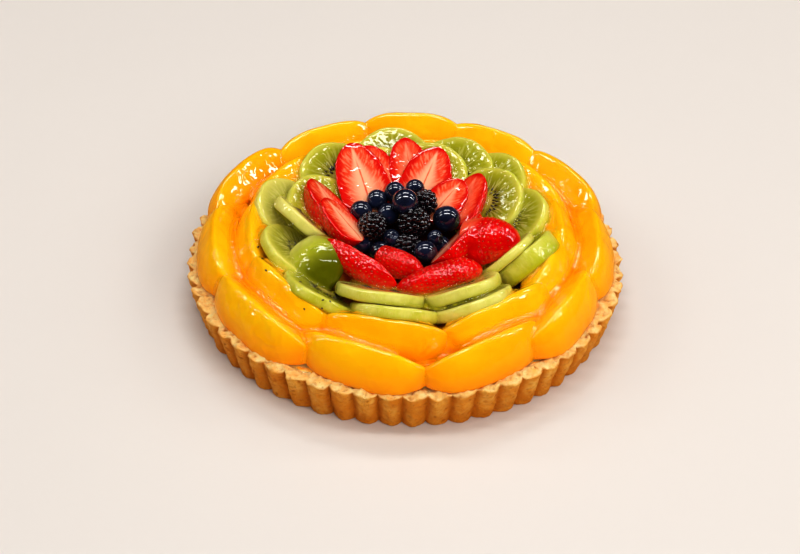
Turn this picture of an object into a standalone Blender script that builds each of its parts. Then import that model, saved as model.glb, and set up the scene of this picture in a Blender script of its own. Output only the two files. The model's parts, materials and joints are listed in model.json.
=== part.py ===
"""Round fruit tart: a fluted shortcrust case filled with custard and topped with fruit.

Rings of peach slices and kiwi slices climb from the rim to a rosette of halved
strawberries, with blueberries and brambles heaped in the middle. Every piece of
fruit is its own solid. The tart stands on z = 0 with its centre line on the Z axis.
"""

import math

import bmesh
import bpy
from mathutils import Matrix, Vector
from mathutils.bvhtree import BVHTree

MM = 0.001

# ---- Driving dimensions, in millimetres ----
RIM_RADIUS = 120.0          # crests of the flutes at the rim
FOOT_RADIUS = 113.2         # crests of the flutes where the case stands
CASE_HEIGHT = 24.0
FLUTE_COUNT = 56
FLUTE_DEPTH = 3.8           # valley to crest
FLUTE_FULLNESS = 0.7        # below 1 the ribs are fuller and the valleys narrower
FLUTE_STEPS = 4             # points along each flute
RIM_WIDTH = 5.2             # pastry thickness at the rim, behind the valleys
WALL_TAPER = 4.0            # how much further in the wall's inner face is at the base
EDGE_ROUNDING = 1.1         # baked edge between wall and rim
BASE_THICKNESS = 4.5
CUSTARD_TOP = 21.0
CUSTARD_STEPS = FLUTE_COUNT // 2
GAP = 0.3                   # clearance between neighbouring pieces

PEACH_PIT = 15.0            # hollow left by the stone
PEACH_FLESH = 20.0          # from the hollow to the skin, at the middle of a slice
PEACH_HALF_ANGLE = 22.0     # half of the wedge that one slice takes from the fruit
PEACH_EDGE_ROUNDING = 0.8   # skin falls away at the two cut edges
PEACH_STATIONS = (-1.0, -0.9, -0.55, 0.0, 0.55, 0.9, 1.0)
KIWI_THICKNESS = 6.8
KIWI_EDGE_ROUNDING = 0.9
KIWI_SIDES = 14
KIWI_END_LEVELS = (0.0, 0.35, 0.62, 0.83, 0.96)
STRAWBERRY_SHOULDER = 0.28  # widest place, as a part of the length
STRAWBERRY_STATIONS = (0.02, 0.1, 0.28, 0.52, 0.75, 0.91, 0.99)
STRAWBERRY_SIDES = 5
BLUEBERRY_HEIGHT = 0.94     # height over width
BERRY_SIDES = 10
BERRY_BANDS = 6
BRAMBLE_LOBES = 6
BRAMBLE_LOBE_SWELL = 0.05
CREASE_ANGLE = 40.0         # edges sharper than this stay crisp, degrees
FLAT_ANGLE = 3.0            # faces closer than this to one plane are merged, degrees

# Peach slices: azimuth, distance and height of the stone axis, half length,
# turn about the vertical, lean of the middle of the slice.
OUTER_PEACHES = (
    ("outer_peach_01", -100, 79, 21.6, 34.5, -13, 23),
    ("outer_peach_02", -67, 79, 21.6, 36, 13, 23),
    ("outer_peach_03", -34, 79, 21.6, 35, 8, 23),
    ("outer_peach_04", 0, 80, 21.6, 36, 0, 24),
    ("outer_peach_05", 34, 84, 21.6, 35, 4, 24),
    ("outer_peach_06", 62, 83, 22, 34, 0, 26),
    ("outer_peach_07", 89, 84, 22.6, 32, 0, 29),
    ("outer_peach_08", 117, 82, 21.8, 33, 0, 26),
    ("outer_peach_09", 149, 84, 22, 35, 0, 24),
    ("outer_peach_10", 183, 80, 21.6, 35, 0, 24),
    ("outer_peach_11", 220, 79, 21.6, 38, -2, 22),
)
INNER_PEACHES = (
    ("inner_peach_01", -97, 58.5, 24.2, 34.5, -3, 23),
    ("inner_peach_02", -51, 59, 25.5, 35, 0, 23),
    ("inner_peach_03", -14, 57.5, 25.5, 33, 0, 23),
    ("inner_peach_05", 33, 62, 26, 34, 0, 25),
    ("inner_peach_09", 147, 60, 26, 33, 0, 25),
    ("inner_peach_10", 181, 60, 25.5, 33, 0, 24),
    ("inner_peach_11", 218, 59, 25.5, 34.5, 0, 23),
)

# Kiwi slices: azimuth, distance and height of the middle of the slice, radius,
# direction its raised edge points, tilt and, where it differs, thickness.
OUTER_KIWIS = (
    ("outer_kiwi_01", -95, 63, 36, 24, -99, 38),
    ("outer_kiwi_02", -57, 64, 36, 24, -54, 37),
    ("outer_kiwi_03", -13.5, 66, 37.5, 21, -34, 53, 8.5),
    ("outer_kiwi_04", 18, 60, 36, 24, 16, 34),
    ("outer_kiwi_05", 45.5, 65.5, 39, 23, 45, 32),
    ("outer_kiwi_06", 65, 62, 40, 24, 66, 33),
    ("outer_kiwi_07", 97, 65.5, 39.5, 24, 95, 30),
    ("outer_kiwi_08", 127, 63, 39, 24, 125, 33),
    ("outer_kiwi_09", 163, 66, 37, 24, 163, 34),
    ("outer_kiwi_10", 197, 60.5, 37, 24, 195, 35),
    ("outer_kiwi_11", 229, 66, 36, 24, 224, 37),
)
INNER_KIWIS = (
    ("inner_kiwi_01", -104, 54, 40, 24.5, -104, 34),
    ("inner_kiwi_02", -57, 55, 40, 22, -56, 35),
    ("inner_kiwi_03", -18.6, 56.5, 40, 19.5, -34, 50, 5.5),
    ("inner_kiwi_04", 36, 54, 39, 23, 40, 33),
    ("inner_kiwi_05", 77, 49, 42, 24, 70, 32),
    ("inner_kiwi_07", 154, 51, 38, 23, 145, 32),
    ("inner_kiwi_08", 171.7, 57.3, 42, 19.5, 214, 48),
)
# Rounded end of a kiwi: azimuth, distance, height, radius, depth, edge direction, tilt.
KIWI_END = ("kiwi_end", 211, 56, 37, 19.5, 15, 212, -35)

# Strawberry halves: middle of the calyx end, tip, width, thickness, way the cut faces.
STRAWBERRIES = (
    ("strawberry_01", (-17.7, 17, 41), (-32.7, 61, 58), 30, 12, (0.1, -0.6, 0.8)),
    ("strawberry_03", (3.5, 36, 42), (-2, 67.5, 58), 23, 11, (0.1, -0.7, 0.8)),
    ("strawberry_04", (3, 21, 41), (17.5, 60, 57), 29, 12, (-0.1, -0.6, 0.8)),
    ("strawberry_05", (12, 12, 42), (30.5, 34, 54), 24, 11, (-0.3, -0.5, 0.8)),
    ("strawberry_06", (24, 9, 40), (39.5, 42, 53), 24, 11, (-0.5, -0.4, 0.7)),
    ("strawberry_07", (14, -30, 44.5), (39, -1, 57), 23.5, 14, (-0.6, 0.43, 0.69)),
    ("strawberry_08", (30.5, -10.5, 39.5), (61, -22.5, 54.5), 30, 17, (0.53, 0.05, -0.85)),
    ("strawberry_09", (39, -35, 45), (-5, -46, 38), 18, 14, (0.1, 0.8, -0.56)),
    ("strawberry_10", (-15, -16.6, 35), (9.5, -38.5, 44), 17, 12, (0, 0.47, -0.88)),
    ("strawberry_11", (-4.5, -46.5, 42), (-43.5, -19.5, 50.5), 19, 10, (0.5, 0.85, 0.17)),
    ("strawberry_12", (-24, -8.5, 42), (-45, 12, 55.5), 23, 12.5, (0.45, 0.1, 0.89)),
    ("strawberry_13", (-32.5, 1.5, 46.5), (-52.5, 32.5, 53), 24, 16, (0.69, -0.24, 0.68)),
)

# Blueberries: middle and diameter.
BLUEBERRIES = (
    ("blueberry_01", (-6.7, 27.5, 49), 12.2),
    ("blueberry_02", (4.3, 32.5, 48), 11),
    ("blueberry_03", (-16.5, 24, 46), 11.8),
    ("blueberry_04", (-25, 15.5, 44), 12.8),
    ("blueberry_05", (-1, 10.5, 55), 14.6),
    ("blueberry_07", (22, 9.5, 45), 15.3),
    ("blueberry_08", (10.6, -17, 42), 13),
)
# Brambles: middle, length, width, way the tip points.
BRAMBLES = (
    ("bramble_01", (-18.7, 3, 43), 20, 16, (0.15, -0.6, 0.8)),
    ("bramble_02", (4, 4, 46), 17, 17, (0.1, -0.4, 0.9)),
)


# ---- Shared helpers ----
def clear_scene():
    for item in list(bpy.data.objects):
        bpy.data.objects.remove(item, do_unlink=True)


def material(name, colour, roughness):
    """Plain Principled material for one kind of piece."""
    found = bpy.data.materials.get(name)
    if found:
        return found
    made = bpy.data.materials.new(name)
    made.use_nodes = True
    shader = made.node_tree.nodes["Principled BSDF"]
    shader.inputs["Base Color"].default_value = (*colour, 1.0)
    shader.inputs["Roughness"].default_value = roughness
    shader.inputs["Metallic"].default_value = 0.0
    return made


def mesh_object(name, verts, faces, look, placing=None):
    """Object from millimetre points and faces, faces turned outwards, shaded smooth."""
    mesh = bpy.data.meshes.new(name)
    mesh.from_pydata([Vector(v) * MM for v in verts], [], faces)
    shape = bmesh.new()
    shape.from_mesh(mesh)
    bmesh.ops.recalc_face_normals(shape, faces=shape.faces)
    bmesh.ops.triangulate(shape, faces=shape.faces)
    shape.to_mesh(mesh)
    shape.free()
    if placing is not None:
        mesh.transform(placing)
    mesh.shade_smooth()
    mesh.set_sharp_from_angle(angle=math.radians(CREASE_ANGLE))
    made = bpy.data.objects.new(name, mesh)
    made.data.materials.append(look)
    bpy.context.scene.collection.objects.link(made)
    return made


def loft(rings, close_start=True, close_end=True):
    """Points and faces of a skin through equal closed rings, with flat or pointed ends."""
    verts = []
    faces = []
    starts = []
    for ring in rings:
        starts.append(len(verts))
        verts.extend(ring)
    count = len(rings[0])
    for low, high in zip(starts[:-1], starts[1:]):
        for i in range(count):
            j = (i + 1) % count
            faces.append((low + i, low + j, high + j, high + i))
    if close_start:
        faces.append(tuple(reversed(range(starts[0], starts[0] + count))))
    if close_end:
        faces.append(tuple(range(starts[-1], starts[-1] + count)))
    return verts, faces


def frame_matrix(origin, x_axis, z_hint):
    """Placing whose local X follows x_axis and whose local Z leans to z_hint."""
    x_dir = Vector(x_axis).normalized()
    z_dir = Vector(z_hint)
    z_dir = (z_dir - x_dir * z_dir.dot(x_dir)).normalized()
    y_dir = z_dir.cross(x_dir)
    turned = Matrix((x_dir, y_dir, z_dir)).transposed().to_4x4()
    return Matrix.Translation(Vector(origin) * MM) @ turned


def polar(azimuth, distance, height):
    angle = math.radians(azimuth)
    return Vector((distance * math.cos(angle), distance * math.sin(angle), height))


# ---- Case and custard ----
def flute_radius(crest, angle):
    """Outline of the fluted wall: round ribs that meet in narrow valleys."""
    phase = (angle * FLUTE_COUNT / (2 * math.pi)) % 1.0
    return crest - FLUTE_DEPTH * (1.0 - math.sin(math.pi * phase) ** FLUTE_FULLNESS)


def fluted_ring(crest, height):
    steps = FLUTE_COUNT * FLUTE_STEPS
    ring = []
    for i in range(steps):
        angle = 2 * math.pi * i / steps - math.pi / 2
        radius = flute_radius(crest, 2 * math.pi * i / steps)
        ring.append((radius * math.cos(angle), radius * math.sin(angle), height))
    return ring


def round_ring(radius, height, steps):
    turns = [2 * math.pi * i / steps - math.pi / 2 for i in range(steps)]
    return [(radius * math.cos(a), radius * math.sin(a), height) for a in turns]


def bridge_uneven(faces, outer_start, outer_count, inner_start, inner_count):
    """Flat band between a fine outer ring and a coarser inner ring."""
    ratio = outer_count // inner_count
    for j in range(inner_count):
        near = inner_start + j
        far = inner_start + (j + 1) % inner_count
        first = j * ratio
        corner = [outer_start + (first + k) % outer_count for k in range(ratio + 1)]
        faces.append((near, *corner, far))


def inner_radius():
    return RIM_RADIUS - FLUTE_DEPTH - RIM_WIDTH


def make_crust():
    """Case: fluted wall that leans out, rounded rim, smooth inside and a flat base."""
    look = material("baked_crust", (0.72, 0.45, 0.20), 0.75)
    shoulder = CASE_HEIGHT - EDGE_ROUNDING
    shoulder_crest = FOOT_RADIUS + (RIM_RADIUS - FOOT_RADIUS) * shoulder / CASE_HEIGHT
    rings = [
        fluted_ring(FOOT_RADIUS, 0.0),
        fluted_ring(shoulder_crest, shoulder),
        fluted_ring(RIM_RADIUS - EDGE_ROUNDING, CASE_HEIGHT),
    ]
    verts, faces = loft(rings, close_start=True, close_end=False)
    fine = FLUTE_COUNT * FLUTE_STEPS
    coarse = FLUTE_COUNT
    inside_top = len(verts)
    verts.extend(round_ring(inner_radius(), CASE_HEIGHT, coarse))
    inside_bottom = len(verts)
    verts.extend(round_ring(inner_radius() - WALL_TAPER, BASE_THICKNESS, coarse))
    bridge_uneven(faces, 2 * fine, fine, inside_top, coarse)
    for i in range(coarse):
        j = (i + 1) % coarse
        faces.append((inside_top + i, inside_top + j, inside_bottom + j, inside_bottom + i))
    faces.append(tuple(inside_bottom + i for i in range(coarse)))
    return mesh_object("crust", verts, faces, look)


def make_custard():
    """Custard filling: a flat-topped layer inside the case."""
    look = material("custard", (0.95, 0.84, 0.50), 0.35)
    slope = WALL_TAPER / (CASE_HEIGHT - BASE_THICKNESS)
    clear = 1.5 * GAP
    foot = BASE_THICKNESS + clear
    low_radius = inner_radius() - WALL_TAPER + clear * slope - clear
    high_radius = inner_radius() - (CASE_HEIGHT - CUSTARD_TOP) * slope - clear
    rings = [
        round_ring(low_radius, foot, CUSTARD_STEPS),
        round_ring(high_radius, CUSTARD_TOP, CUSTARD_STEPS),
    ]
    verts, faces = loft(rings)
    return mesh_object("custard", verts, faces, look)


# ---- Peach slices ----
def peach_ring(along, half_length):
    """Cross-section of a slice at one place along it, in its own Y (out) and Z (up)."""
    hollow = PEACH_PIT * (1.0 - 0.12 * along ** 2)
    flesh = PEACH_FLESH * max(1.0 - abs(along) ** 3.0, 0.06) ** 0.5
    spread = math.radians(PEACH_HALF_ANGLE) * (1.0 - 0.4 * along ** 6)
    x = along * half_length
    ring = []
    for part in (-1.0, -0.4, 0.4, 1.0):
        reach = hollow + flesh - PEACH_EDGE_ROUNDING * part ** 4
        ring.append((x, reach * math.cos(part * spread), reach * math.sin(part * spread)))
    for part in (1.0, -1.0):
        ring.append((x, hollow * math.cos(part * spread), hollow * math.sin(part * spread)))
    return ring


def make_peach(name, azimuth, distance, height, half_length, turn, lean):
    """Slice of peach: round skin outwards, two flat cut sides, hollow from the stone."""
    look = material("peach", (1.0, 0.58, 0.03), 0.25)
    rings = [peach_ring(along, half_length) for along in PEACH_STATIONS]
    verts, faces = loft(rings)
    out = polar(azimuth + turn, 1.0, 0.0)
    up = Vector((0, 0, 1))
    along = up.cross(out)
    tilted_up = up * math.cos(math.radians(lean)) - out * math.sin(math.radians(lean))
    placing = frame_matrix(polar(azimuth, distance, height), -along, tilted_up)
    return mesh_object(name, verts, faces, look, placing)


# ---- Kiwi slices ----
def make_kiwi(name, azimuth, distance, height, radius, facing, tilt, thickness=KIWI_THICKNESS):
    """Round slice of kiwi with a softly rounded peeled edge, its outer side raised."""
    look = material("kiwi", (0.55, 0.68, 0.12), 0.25)
    half = thickness / 2
    rings = []
    for inset, level in ((KIWI_EDGE_ROUNDING, -half), (0.0, 0.0), (KIWI_EDGE_ROUNDING, half)):
        rings.append(round_ring(radius - inset, level, KIWI_SIDES))
    verts, faces = loft(rings)
    out = polar(facing, 1.0, 0.0)
    rise = math.radians(tilt)
    raised = out * math.cos(rise) + Vector((0, 0, 1)) * math.sin(rise)
    placing = frame_matrix(polar(azimuth, distance, height), raised, (0, 0, 1))
    return mesh_object(name, verts, faces, look, placing)


def make_kiwi_end(name, azimuth, distance, height, radius, depth, facing, tilt):
    """Domed end of a kiwi, lying on its cut side."""
    look = material("kiwi", (0.55, 0.68, 0.12), 0.25)
    rings = []
    for part in KIWI_END_LEVELS:
        reach = radius * math.sqrt(1.0 - part ** 2)
        rings.append(round_ring(reach, depth * part, KIWI_SIDES))
    verts, faces = loft(rings)
    out = polar(facing, 1.0, 0.0)
    rise = math.radians(tilt)
    raised = out * math.cos(rise) + Vector((0, 0, 1)) * math.sin(rise)
    placing = frame_matrix(polar(azimuth, distance, height), raised, (0, 0, 1))
    return mesh_object(name, verts, faces, look, placing)


# ---- Strawberries ----
def berry_profile(along):
    """Half width of a strawberry, from the calyx at 0 to the tip at 1, at most 1."""
    shoulder = min(1.0, along / STRAWBERRY_SHOULDER) ** 0.5
    taper = 1.0 - max(0.0, (along - 0.25) / 0.75) ** 1.9
    return shoulder * taper ** 0.75


def make_strawberry(name, calyx, tip, width, thickness, face_way):
    """Half a strawberry: flat cut face one way, round skin the other."""
    look = material("strawberry", (0.80, 0.03, 0.01), 0.25)
    axis = Vector(tip) - Vector(calyx)
    rings = []
    for along in STRAWBERRY_STATIONS:
        size = berry_profile(along)
        ring = []
        for i in range(STRAWBERRY_SIDES + 1):
            turn = math.pi * i / STRAWBERRY_SIDES
            side = 0.5 * width * size * math.cos(turn)
            ring.append((along * axis.length, side, -thickness * size * math.sin(turn)))
        rings.append(ring)
    verts, faces = loft(rings)
    placing = frame_matrix(calyx, axis, face_way)
    return mesh_object(name, verts, faces, look, placing)


# ---- Round berries ----
def ball(radii, sides, swell_by=0.0, lobes=1):
    """Closed round skin with its poles on Z, with optional rows of lobes."""
    rings = []
    for k in range(1, BERRY_BANDS):
        fall = math.pi * k / BERRY_BANDS
        ring = []
        for i in range(sides):
            turn = 2 * math.pi * (i + 0.5 * (k % 2)) / sides
            swell = 1.0 + swell_by * math.cos(turn * lobes + math.pi * (k % 2))
            flat = math.sin(fall) * swell
            ring.append((radii[0] * flat * math.cos(turn), radii[1] * flat * math.sin(turn),
                         -radii[2] * math.cos(fall)))
        rings.append(ring)
    return loft(rings)


def make_blueberry(name, middle, diameter):
    look = material("blueberry", (0.012, 0.014, 0.035), 0.15)
    radius = diameter / 2
    verts, faces = ball((radius, radius, radius * BLUEBERRY_HEIGHT), BERRY_SIDES)
    placing = Matrix.Translation(Vector(middle) * MM)
    return mesh_object(name, verts, faces, look, placing)


def make_bramble(name, middle, length, width, tip_way):
    look = material("bramble", (0.010, 0.006, 0.010), 0.2)
    radii = (width / 2, width / 2, length / 2)
    verts, faces = ball(radii, 2 * BRAMBLE_LOBES, BRAMBLE_LOBE_SWELL, BRAMBLE_LOBES)
    side = Vector(tip_way).orthogonal()
    placing = frame_matrix(middle, side, tip_way)
    return mesh_object(name, verts, faces, look, placing)


# ---- Fitting the pieces together ----
def grown_copy(piece, growth):
    """Cutter: the same shape grown outwards by the clearance between pieces."""
    mesh = piece.data.copy()
    shape = bmesh.new()
    shape.from_mesh(mesh)
    shape.normal_update()
    moves = [vert.normal * growth * vert.calc_shell_factor() for vert in shape.verts]
    for vert, move in zip(shape.verts, moves):
        vert.co += move
    shape.to_mesh(mesh)
    shape.free()
    cutter = bpy.data.objects.new(piece.name + "_clearance", mesh)
    cutter.hide_render = True
    cutter.display_type = "WIRE"
    bpy.context.scene.collection.objects.link(cutter)
    return cutter


def tree_of(mesh):
    shape = bmesh.new()
    shape.from_mesh(mesh)
    tree = BVHTree.FromBMesh(shape)
    shape.free()
    return tree


def largest_part(mesh):
    """Keep the largest closed part that the cuts have left."""
    shape = bmesh.new()
    shape.from_mesh(mesh)
    groups = []
    waiting = set(shape.verts)
    while waiting:
        group = {waiting.pop()}
        edge_verts = list(group)
        while edge_verts:
            vert = edge_verts.pop()
            for edge in vert.link_edges:
                other = edge.other_vert(vert)
                if other in waiting:
                    waiting.discard(other)
                    group.add(other)
                    edge_verts.append(other)
        groups.append(group)
    groups.sort(key=len)
    for group in groups[:-1]:
        bmesh.ops.delete(shape, geom=list(group), context="VERTS")
    flat = math.radians(FLAT_ANGLE)
    bmesh.ops.dissolve_limit(shape, angle_limit=flat, verts=shape.verts, edges=shape.edges)
    bmesh.ops.triangulate(shape, faces=shape.faces)
    shape.to_mesh(mesh)
    shape.free()


def fit_together(pieces):
    """Cut each piece by the pieces before it in the list, which lie on top of it."""
    cutters = [grown_copy(piece, GAP * MM) for piece in pieces]
    trees = [tree_of(cutter.data) for cutter in cutters]
    own = [tree_of(piece.data) for piece in pieces]
    for low in range(1, len(pieces)):
        for high in range(low):
            if own[low].overlap(trees[high]):
                cut = pieces[low].modifiers.new("clear_of_" + pieces[high].name, "BOOLEAN")
                cut.operation = "DIFFERENCE"
                cut.solver = "EXACT"
                cut.object = cutters[high]
    depsgraph = bpy.context.evaluated_depsgraph_get()
    fitted = [bpy.data.meshes.new_from_object(p.evaluated_get(depsgraph)) for p in pieces]
    for piece, mesh in zip(pieces, fitted):
        piece.modifiers.clear()
        largest_part(mesh)
        piece.data = mesh
    for cutter in cutters:
        bpy.data.objects.remove(cutter, do_unlink=True)


def main():
    clear_scene()
    case = [make_crust(), make_custard()]
    fruit = [make_blueberry(*row) for row in BLUEBERRIES]
    fruit += [make_bramble(*row) for row in BRAMBLES]
    fruit += [make_strawberry(*row) for row in STRAWBERRIES]
    fruit += [make_kiwi_end(*KIWI_END)]
    fruit += [make_kiwi(*row) for row in INNER_KIWIS]
    fruit += [make_peach(*row) for row in OUTER_PEACHES]
    fruit += [make_peach(*row) for row in INNER_PEACHES]
    fruit += [make_kiwi(*row) for row in OUTER_KIWIS]
    fit_together(case + fruit)


main()
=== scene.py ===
"""Finished look of a fruit tart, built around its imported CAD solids.

The case, custard and every piece of fruit take their places from the CAD design.
Each piece is a fine mesh that stands for its solid. Lengths are in millimetres
until a mesh is made, and metres after that.
"""

import json
import math

import bpy
import numpy as np
from mathutils import Matrix, Vector, bvhtree, kdtree, noise

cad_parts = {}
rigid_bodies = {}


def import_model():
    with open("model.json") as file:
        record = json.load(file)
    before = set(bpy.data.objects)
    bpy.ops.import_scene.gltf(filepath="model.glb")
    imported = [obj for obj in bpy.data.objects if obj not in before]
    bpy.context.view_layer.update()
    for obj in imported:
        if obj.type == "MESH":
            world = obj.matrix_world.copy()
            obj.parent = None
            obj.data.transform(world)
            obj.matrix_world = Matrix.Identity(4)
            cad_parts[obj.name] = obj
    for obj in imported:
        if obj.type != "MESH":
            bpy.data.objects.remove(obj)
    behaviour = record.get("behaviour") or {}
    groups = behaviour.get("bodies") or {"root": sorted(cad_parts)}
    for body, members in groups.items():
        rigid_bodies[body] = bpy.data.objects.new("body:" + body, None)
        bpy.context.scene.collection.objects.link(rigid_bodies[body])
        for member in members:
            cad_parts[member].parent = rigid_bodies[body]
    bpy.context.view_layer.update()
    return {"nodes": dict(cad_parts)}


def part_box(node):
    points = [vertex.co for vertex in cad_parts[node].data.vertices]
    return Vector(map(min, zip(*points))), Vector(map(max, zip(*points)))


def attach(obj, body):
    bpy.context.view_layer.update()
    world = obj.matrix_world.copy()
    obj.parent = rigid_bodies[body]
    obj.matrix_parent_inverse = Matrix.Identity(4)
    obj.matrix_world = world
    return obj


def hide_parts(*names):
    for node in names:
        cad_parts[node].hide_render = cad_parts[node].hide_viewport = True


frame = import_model()

# ---- Camera ----
# A long lens looks down on the tart from the front and a little to the left,
# and is turned slightly in its mount, so the tart's right side sits lower.
CAMERA_AIM = Vector((-0.0028, 0.0145, 0.0))
CAMERA_DISTANCE = 1.454
CAMERA_ELEVATION = math.radians(37.84)
CAMERA_ROLL = math.radians(1.37)
SENSOR_WIDTH = 36.0
FOCAL_LENGTH = 117.0
FARTHEST_SEEN = 50.0

lens = bpy.data.cameras.new("studio_camera")
lens.sensor_width = SENSOR_WIDTH
lens.lens = FOCAL_LENGTH
lens.clip_end = FARTHEST_SEEN
camera = bpy.data.objects.new("studio_camera", lens)
back_and_up = Vector((0, -math.cos(CAMERA_ELEVATION), math.sin(CAMERA_ELEVATION)))
tilt = Matrix.Rotation(math.pi / 2 - CAMERA_ELEVATION, 4, "X")
roll = Matrix.Rotation(CAMERA_ROLL, 4, "Z")
camera.matrix_world = Matrix.Translation(CAMERA_AIM + back_and_up * CAMERA_DISTANCE) @ tilt @ roll
bpy.context.scene.collection.objects.link(camera)
bpy.context.scene.camera = camera

# ---- Floor and lights ----
# A plain pale table top under a ceiling of soft light panels in two rows, as in
# a small studio, with pale walls all round that fill in the shadows.
FLOOR_HALF = 6.0
FLOOR_COLOUR = (0.670, 0.618, 0.572)
FLOOR_CLOUD = 1.03          # how much paler its clouds are
PAINTED_WARM_REFLECTION = (0.62, 0.30, 0.07)   # painted reflection: a warm colour that the wet fruit sees in place of the pale table
PANEL_HEIGHT = 1.25
PANEL_STEP = 1.30
PANEL_SIZE = (0.84, 0.13)
PANEL_ROWS = (-0.06, 0.74)
PANEL_WATTS = 3.5
PANEL_DRIFT = 0.08           # each column of panels is this much brighter than the one on its left
SOFTBOX_PLACE = (0.62, -1.62, 1.35)
SOFTBOX_SIZE = (2.4, 1.4)
SOFTBOX_WATTS = 26.5
FILL_COLOUR = (1.0, 0.98, 0.95)
FILL_STRENGTH = 0.12


def add_node(tree, kind, sockets=None, **settings):
    """Add a node; a socket value may be a number, a colour or another node's output."""
    made = tree.nodes.new(kind)
    for name, value in settings.items():
        setattr(made, name, value)
    for name, value in (sockets or {}).items():
        if isinstance(value, bpy.types.NodeSocket):
            tree.links.new(value, made.inputs[name])
        else:
            made.inputs[name].default_value = value
    return made


def clouds(tree, position, scale, detail, **more):
    """Mask of soft noise."""
    sockets = {"Vector": position, "Scale": scale, "Detail": detail, **more}
    return add_node(tree, "ShaderNodeTexNoise", sockets).outputs["Fac"]


def full_colour(colour):
    """A colour ready for a socket: an output as it is, or three numbers made opaque."""
    return colour if isinstance(colour, bpy.types.NodeSocket) else (*colour, 1.0)


def blended(tree, factor, low, high):
    """Colour that goes from low to high as factor goes from 0 to 1."""
    sockets = {"Factor": factor, "A": full_colour(low), "B": full_colour(high)}
    return add_node(tree, "ShaderNodeMix", sockets, data_type="RGBA").outputs["Result"]


def new_finish(name, plain, inside=()):
    """Material with one Principled shader; plain holds its uniform values.

    Inside holds the weight, colour reach and scale of the light that goes through it.
    Its tree, its shader and the place on the piece in metres come with it.
    """
    made = bpy.data.materials.new(name)
    made.use_nodes = True
    shader = made.node_tree.nodes["Principled BSDF"]
    through = zip(("Subsurface Weight", "Subsurface Radius", "Subsurface Scale"), inside)
    for socket, value in [*plain.items(), *through]:
        shader.inputs[socket].default_value = value
    place = add_node(made.node_tree, "ShaderNodeTexCoord").outputs["Object"]
    return made, made.node_tree, shader, place


def painted(shader, colour):
    """Give a shader its colour."""
    shader.id_data.links.new(colour, shader.inputs["Base Color"])


def add_object(name, points, faces, finish, **values):
    """Smooth mesh object from points in metres, with values stored at each point.

    Each value is a number for the whole piece, or a number or a vector for each point.
    """
    mesh = bpy.data.meshes.new(name)
    mesh.from_pydata(np.asarray(points).tolist(), [], faces)
    mesh.shade_smooth()
    for key, value in values.items():
        value = np.asarray(value, np.float32)
        kind, field = ("FLOAT_VECTOR", "vector") if value.ndim == 2 else ("FLOAT", "value")
        value = value if value.ndim else np.full(len(points), value)
        mesh.attributes.new(key, kind, "POINT").data.foreach_set(field, value.ravel())
    if finish:
        mesh.materials.append(finish)
    made = bpy.data.objects.new(name, mesh)
    bpy.context.scene.collection.objects.link(made)
    return made


floor_finish, tree, shader, place = new_finish("pale_table_top", {"Roughness": 0.55})
paler = [c * FLOOR_CLOUD for c in FLOOR_COLOUR]
shade = blended(tree, clouds(tree, place, 3.0, 4.0), FLOOR_COLOUR, paler)
# Painted reflection: glossy rays see the table in a warm colour instead of its own pale one.
ray = add_node(tree, "ShaderNodeLightPath").outputs["Is Glossy Ray"]
painted(shader, blended(tree, ray, shade, PAINTED_WARM_REFLECTION))
corners = [(x * FLOOR_HALF, y * FLOOR_HALF, 0.0) for x, y in ((-1, -1), (1, -1), (1, 1), (-1, 1))]
floor = add_object("floor", corners, [(0, 1, 2, 3)], floor_finish)


def add_lamp(name, size, watts, place):
    """Soft rectangular light that shines straight down."""
    lamp = bpy.data.lights.new(name, "AREA")
    lamp.shape = "RECTANGLE"
    lamp.size, lamp.size_y = size
    lamp.energy = watts
    made = bpy.data.objects.new(name, lamp)
    made.location = place
    bpy.context.scene.collection.objects.link(made)
    return made


for row, depth in enumerate(PANEL_ROWS):
    for column in range(-2, 3):
        watts = PANEL_WATTS * (1 + PANEL_DRIFT * column)
        add_lamp(f"ceiling_panel_{row}_{column + 3}", PANEL_SIZE, watts,
                 (column * PANEL_STEP, depth, PANEL_HEIGHT))

# The softbox stands behind the camera and lights the front without glints of its own.
softbox = add_lamp("front_softbox", SOFTBOX_SIZE, SOFTBOX_WATTS, SOFTBOX_PLACE)
softbox.rotation_euler = Vector(SOFTBOX_PLACE).to_track_quat("Z", "Y").to_euler()
softbox.visible_glossy = False

walls = bpy.data.worlds.new("pale_walls")
walls.use_nodes = True
background = walls.node_tree.nodes["Background"].inputs
background["Color"].default_value = (*FILL_COLOUR, 1.0)
background["Strength"].default_value = FILL_STRENGTH
bpy.context.scene.world = walls
walls.cycles_visibility.glossy = False
bpy.context.scene.view_settings.view_transform = "Standard"
bpy.context.scene.view_settings.look = "High Contrast"

# ---- Case ----
# Shortcrust pastry baked in a fluted tin: round ribs with narrow valleys, a paler
# rim, and a crumbly wall with pits and a few level cracks near the top.
MM = 0.001
RIM_RADIUS = 120.0
FOOT_RADIUS = 113.2
CASE_HEIGHT = 24.0
FLUTE_COUNT = 56
FLUTE_DEPTH = 3.8
FLUTE_FULLNESS = 0.8
FLUTE_DRIFT = 0.13          # how far the ribs' middles wander, in ribs
FLUTE_UNEVEN = 0.16         # how much their depths differ
RIM_WIDTH = 5.2
RIM_CREEP = 3.6             # how far the pastry creeps in towards the fruit
RIM_SLOPE = 0.9             # how far its inner edge lies under its outer edge
EDGE_ROUNDING = 1.4
BASE_THICKNESS = 4.5
WALL_TAPER = 4.0
POINTS_PER_FLUTE = 20
WALL_ROWS = 34
LUMP = 0.75                 # height of the dough's broad lumps
LUMP_SIZE = 9.0
GRAIN = 0.70                # height of its crumb
GRAIN_SIZE = 3.4
RIM_CRUMB = 0.8             # how much the open rim crumbles
CRUMBS_FROM = 0.72          # part of the height above which it does
PIT = 0.85                  # depth of the pits
PIT_SIZE = 2.2
RIM_WAVE = 1.6              # how far the rim rises and falls from flute to flute
RIM_WAVE_SIZE = 6.0
CRACK_HEIGHT = 17.0
CRACK_REACH = 3.5           # the cracks die out this far above and below it
CRACK = 0.7
BARE_MOST = 0.004           # no piece may leave more than this of its solid's box bare


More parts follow.
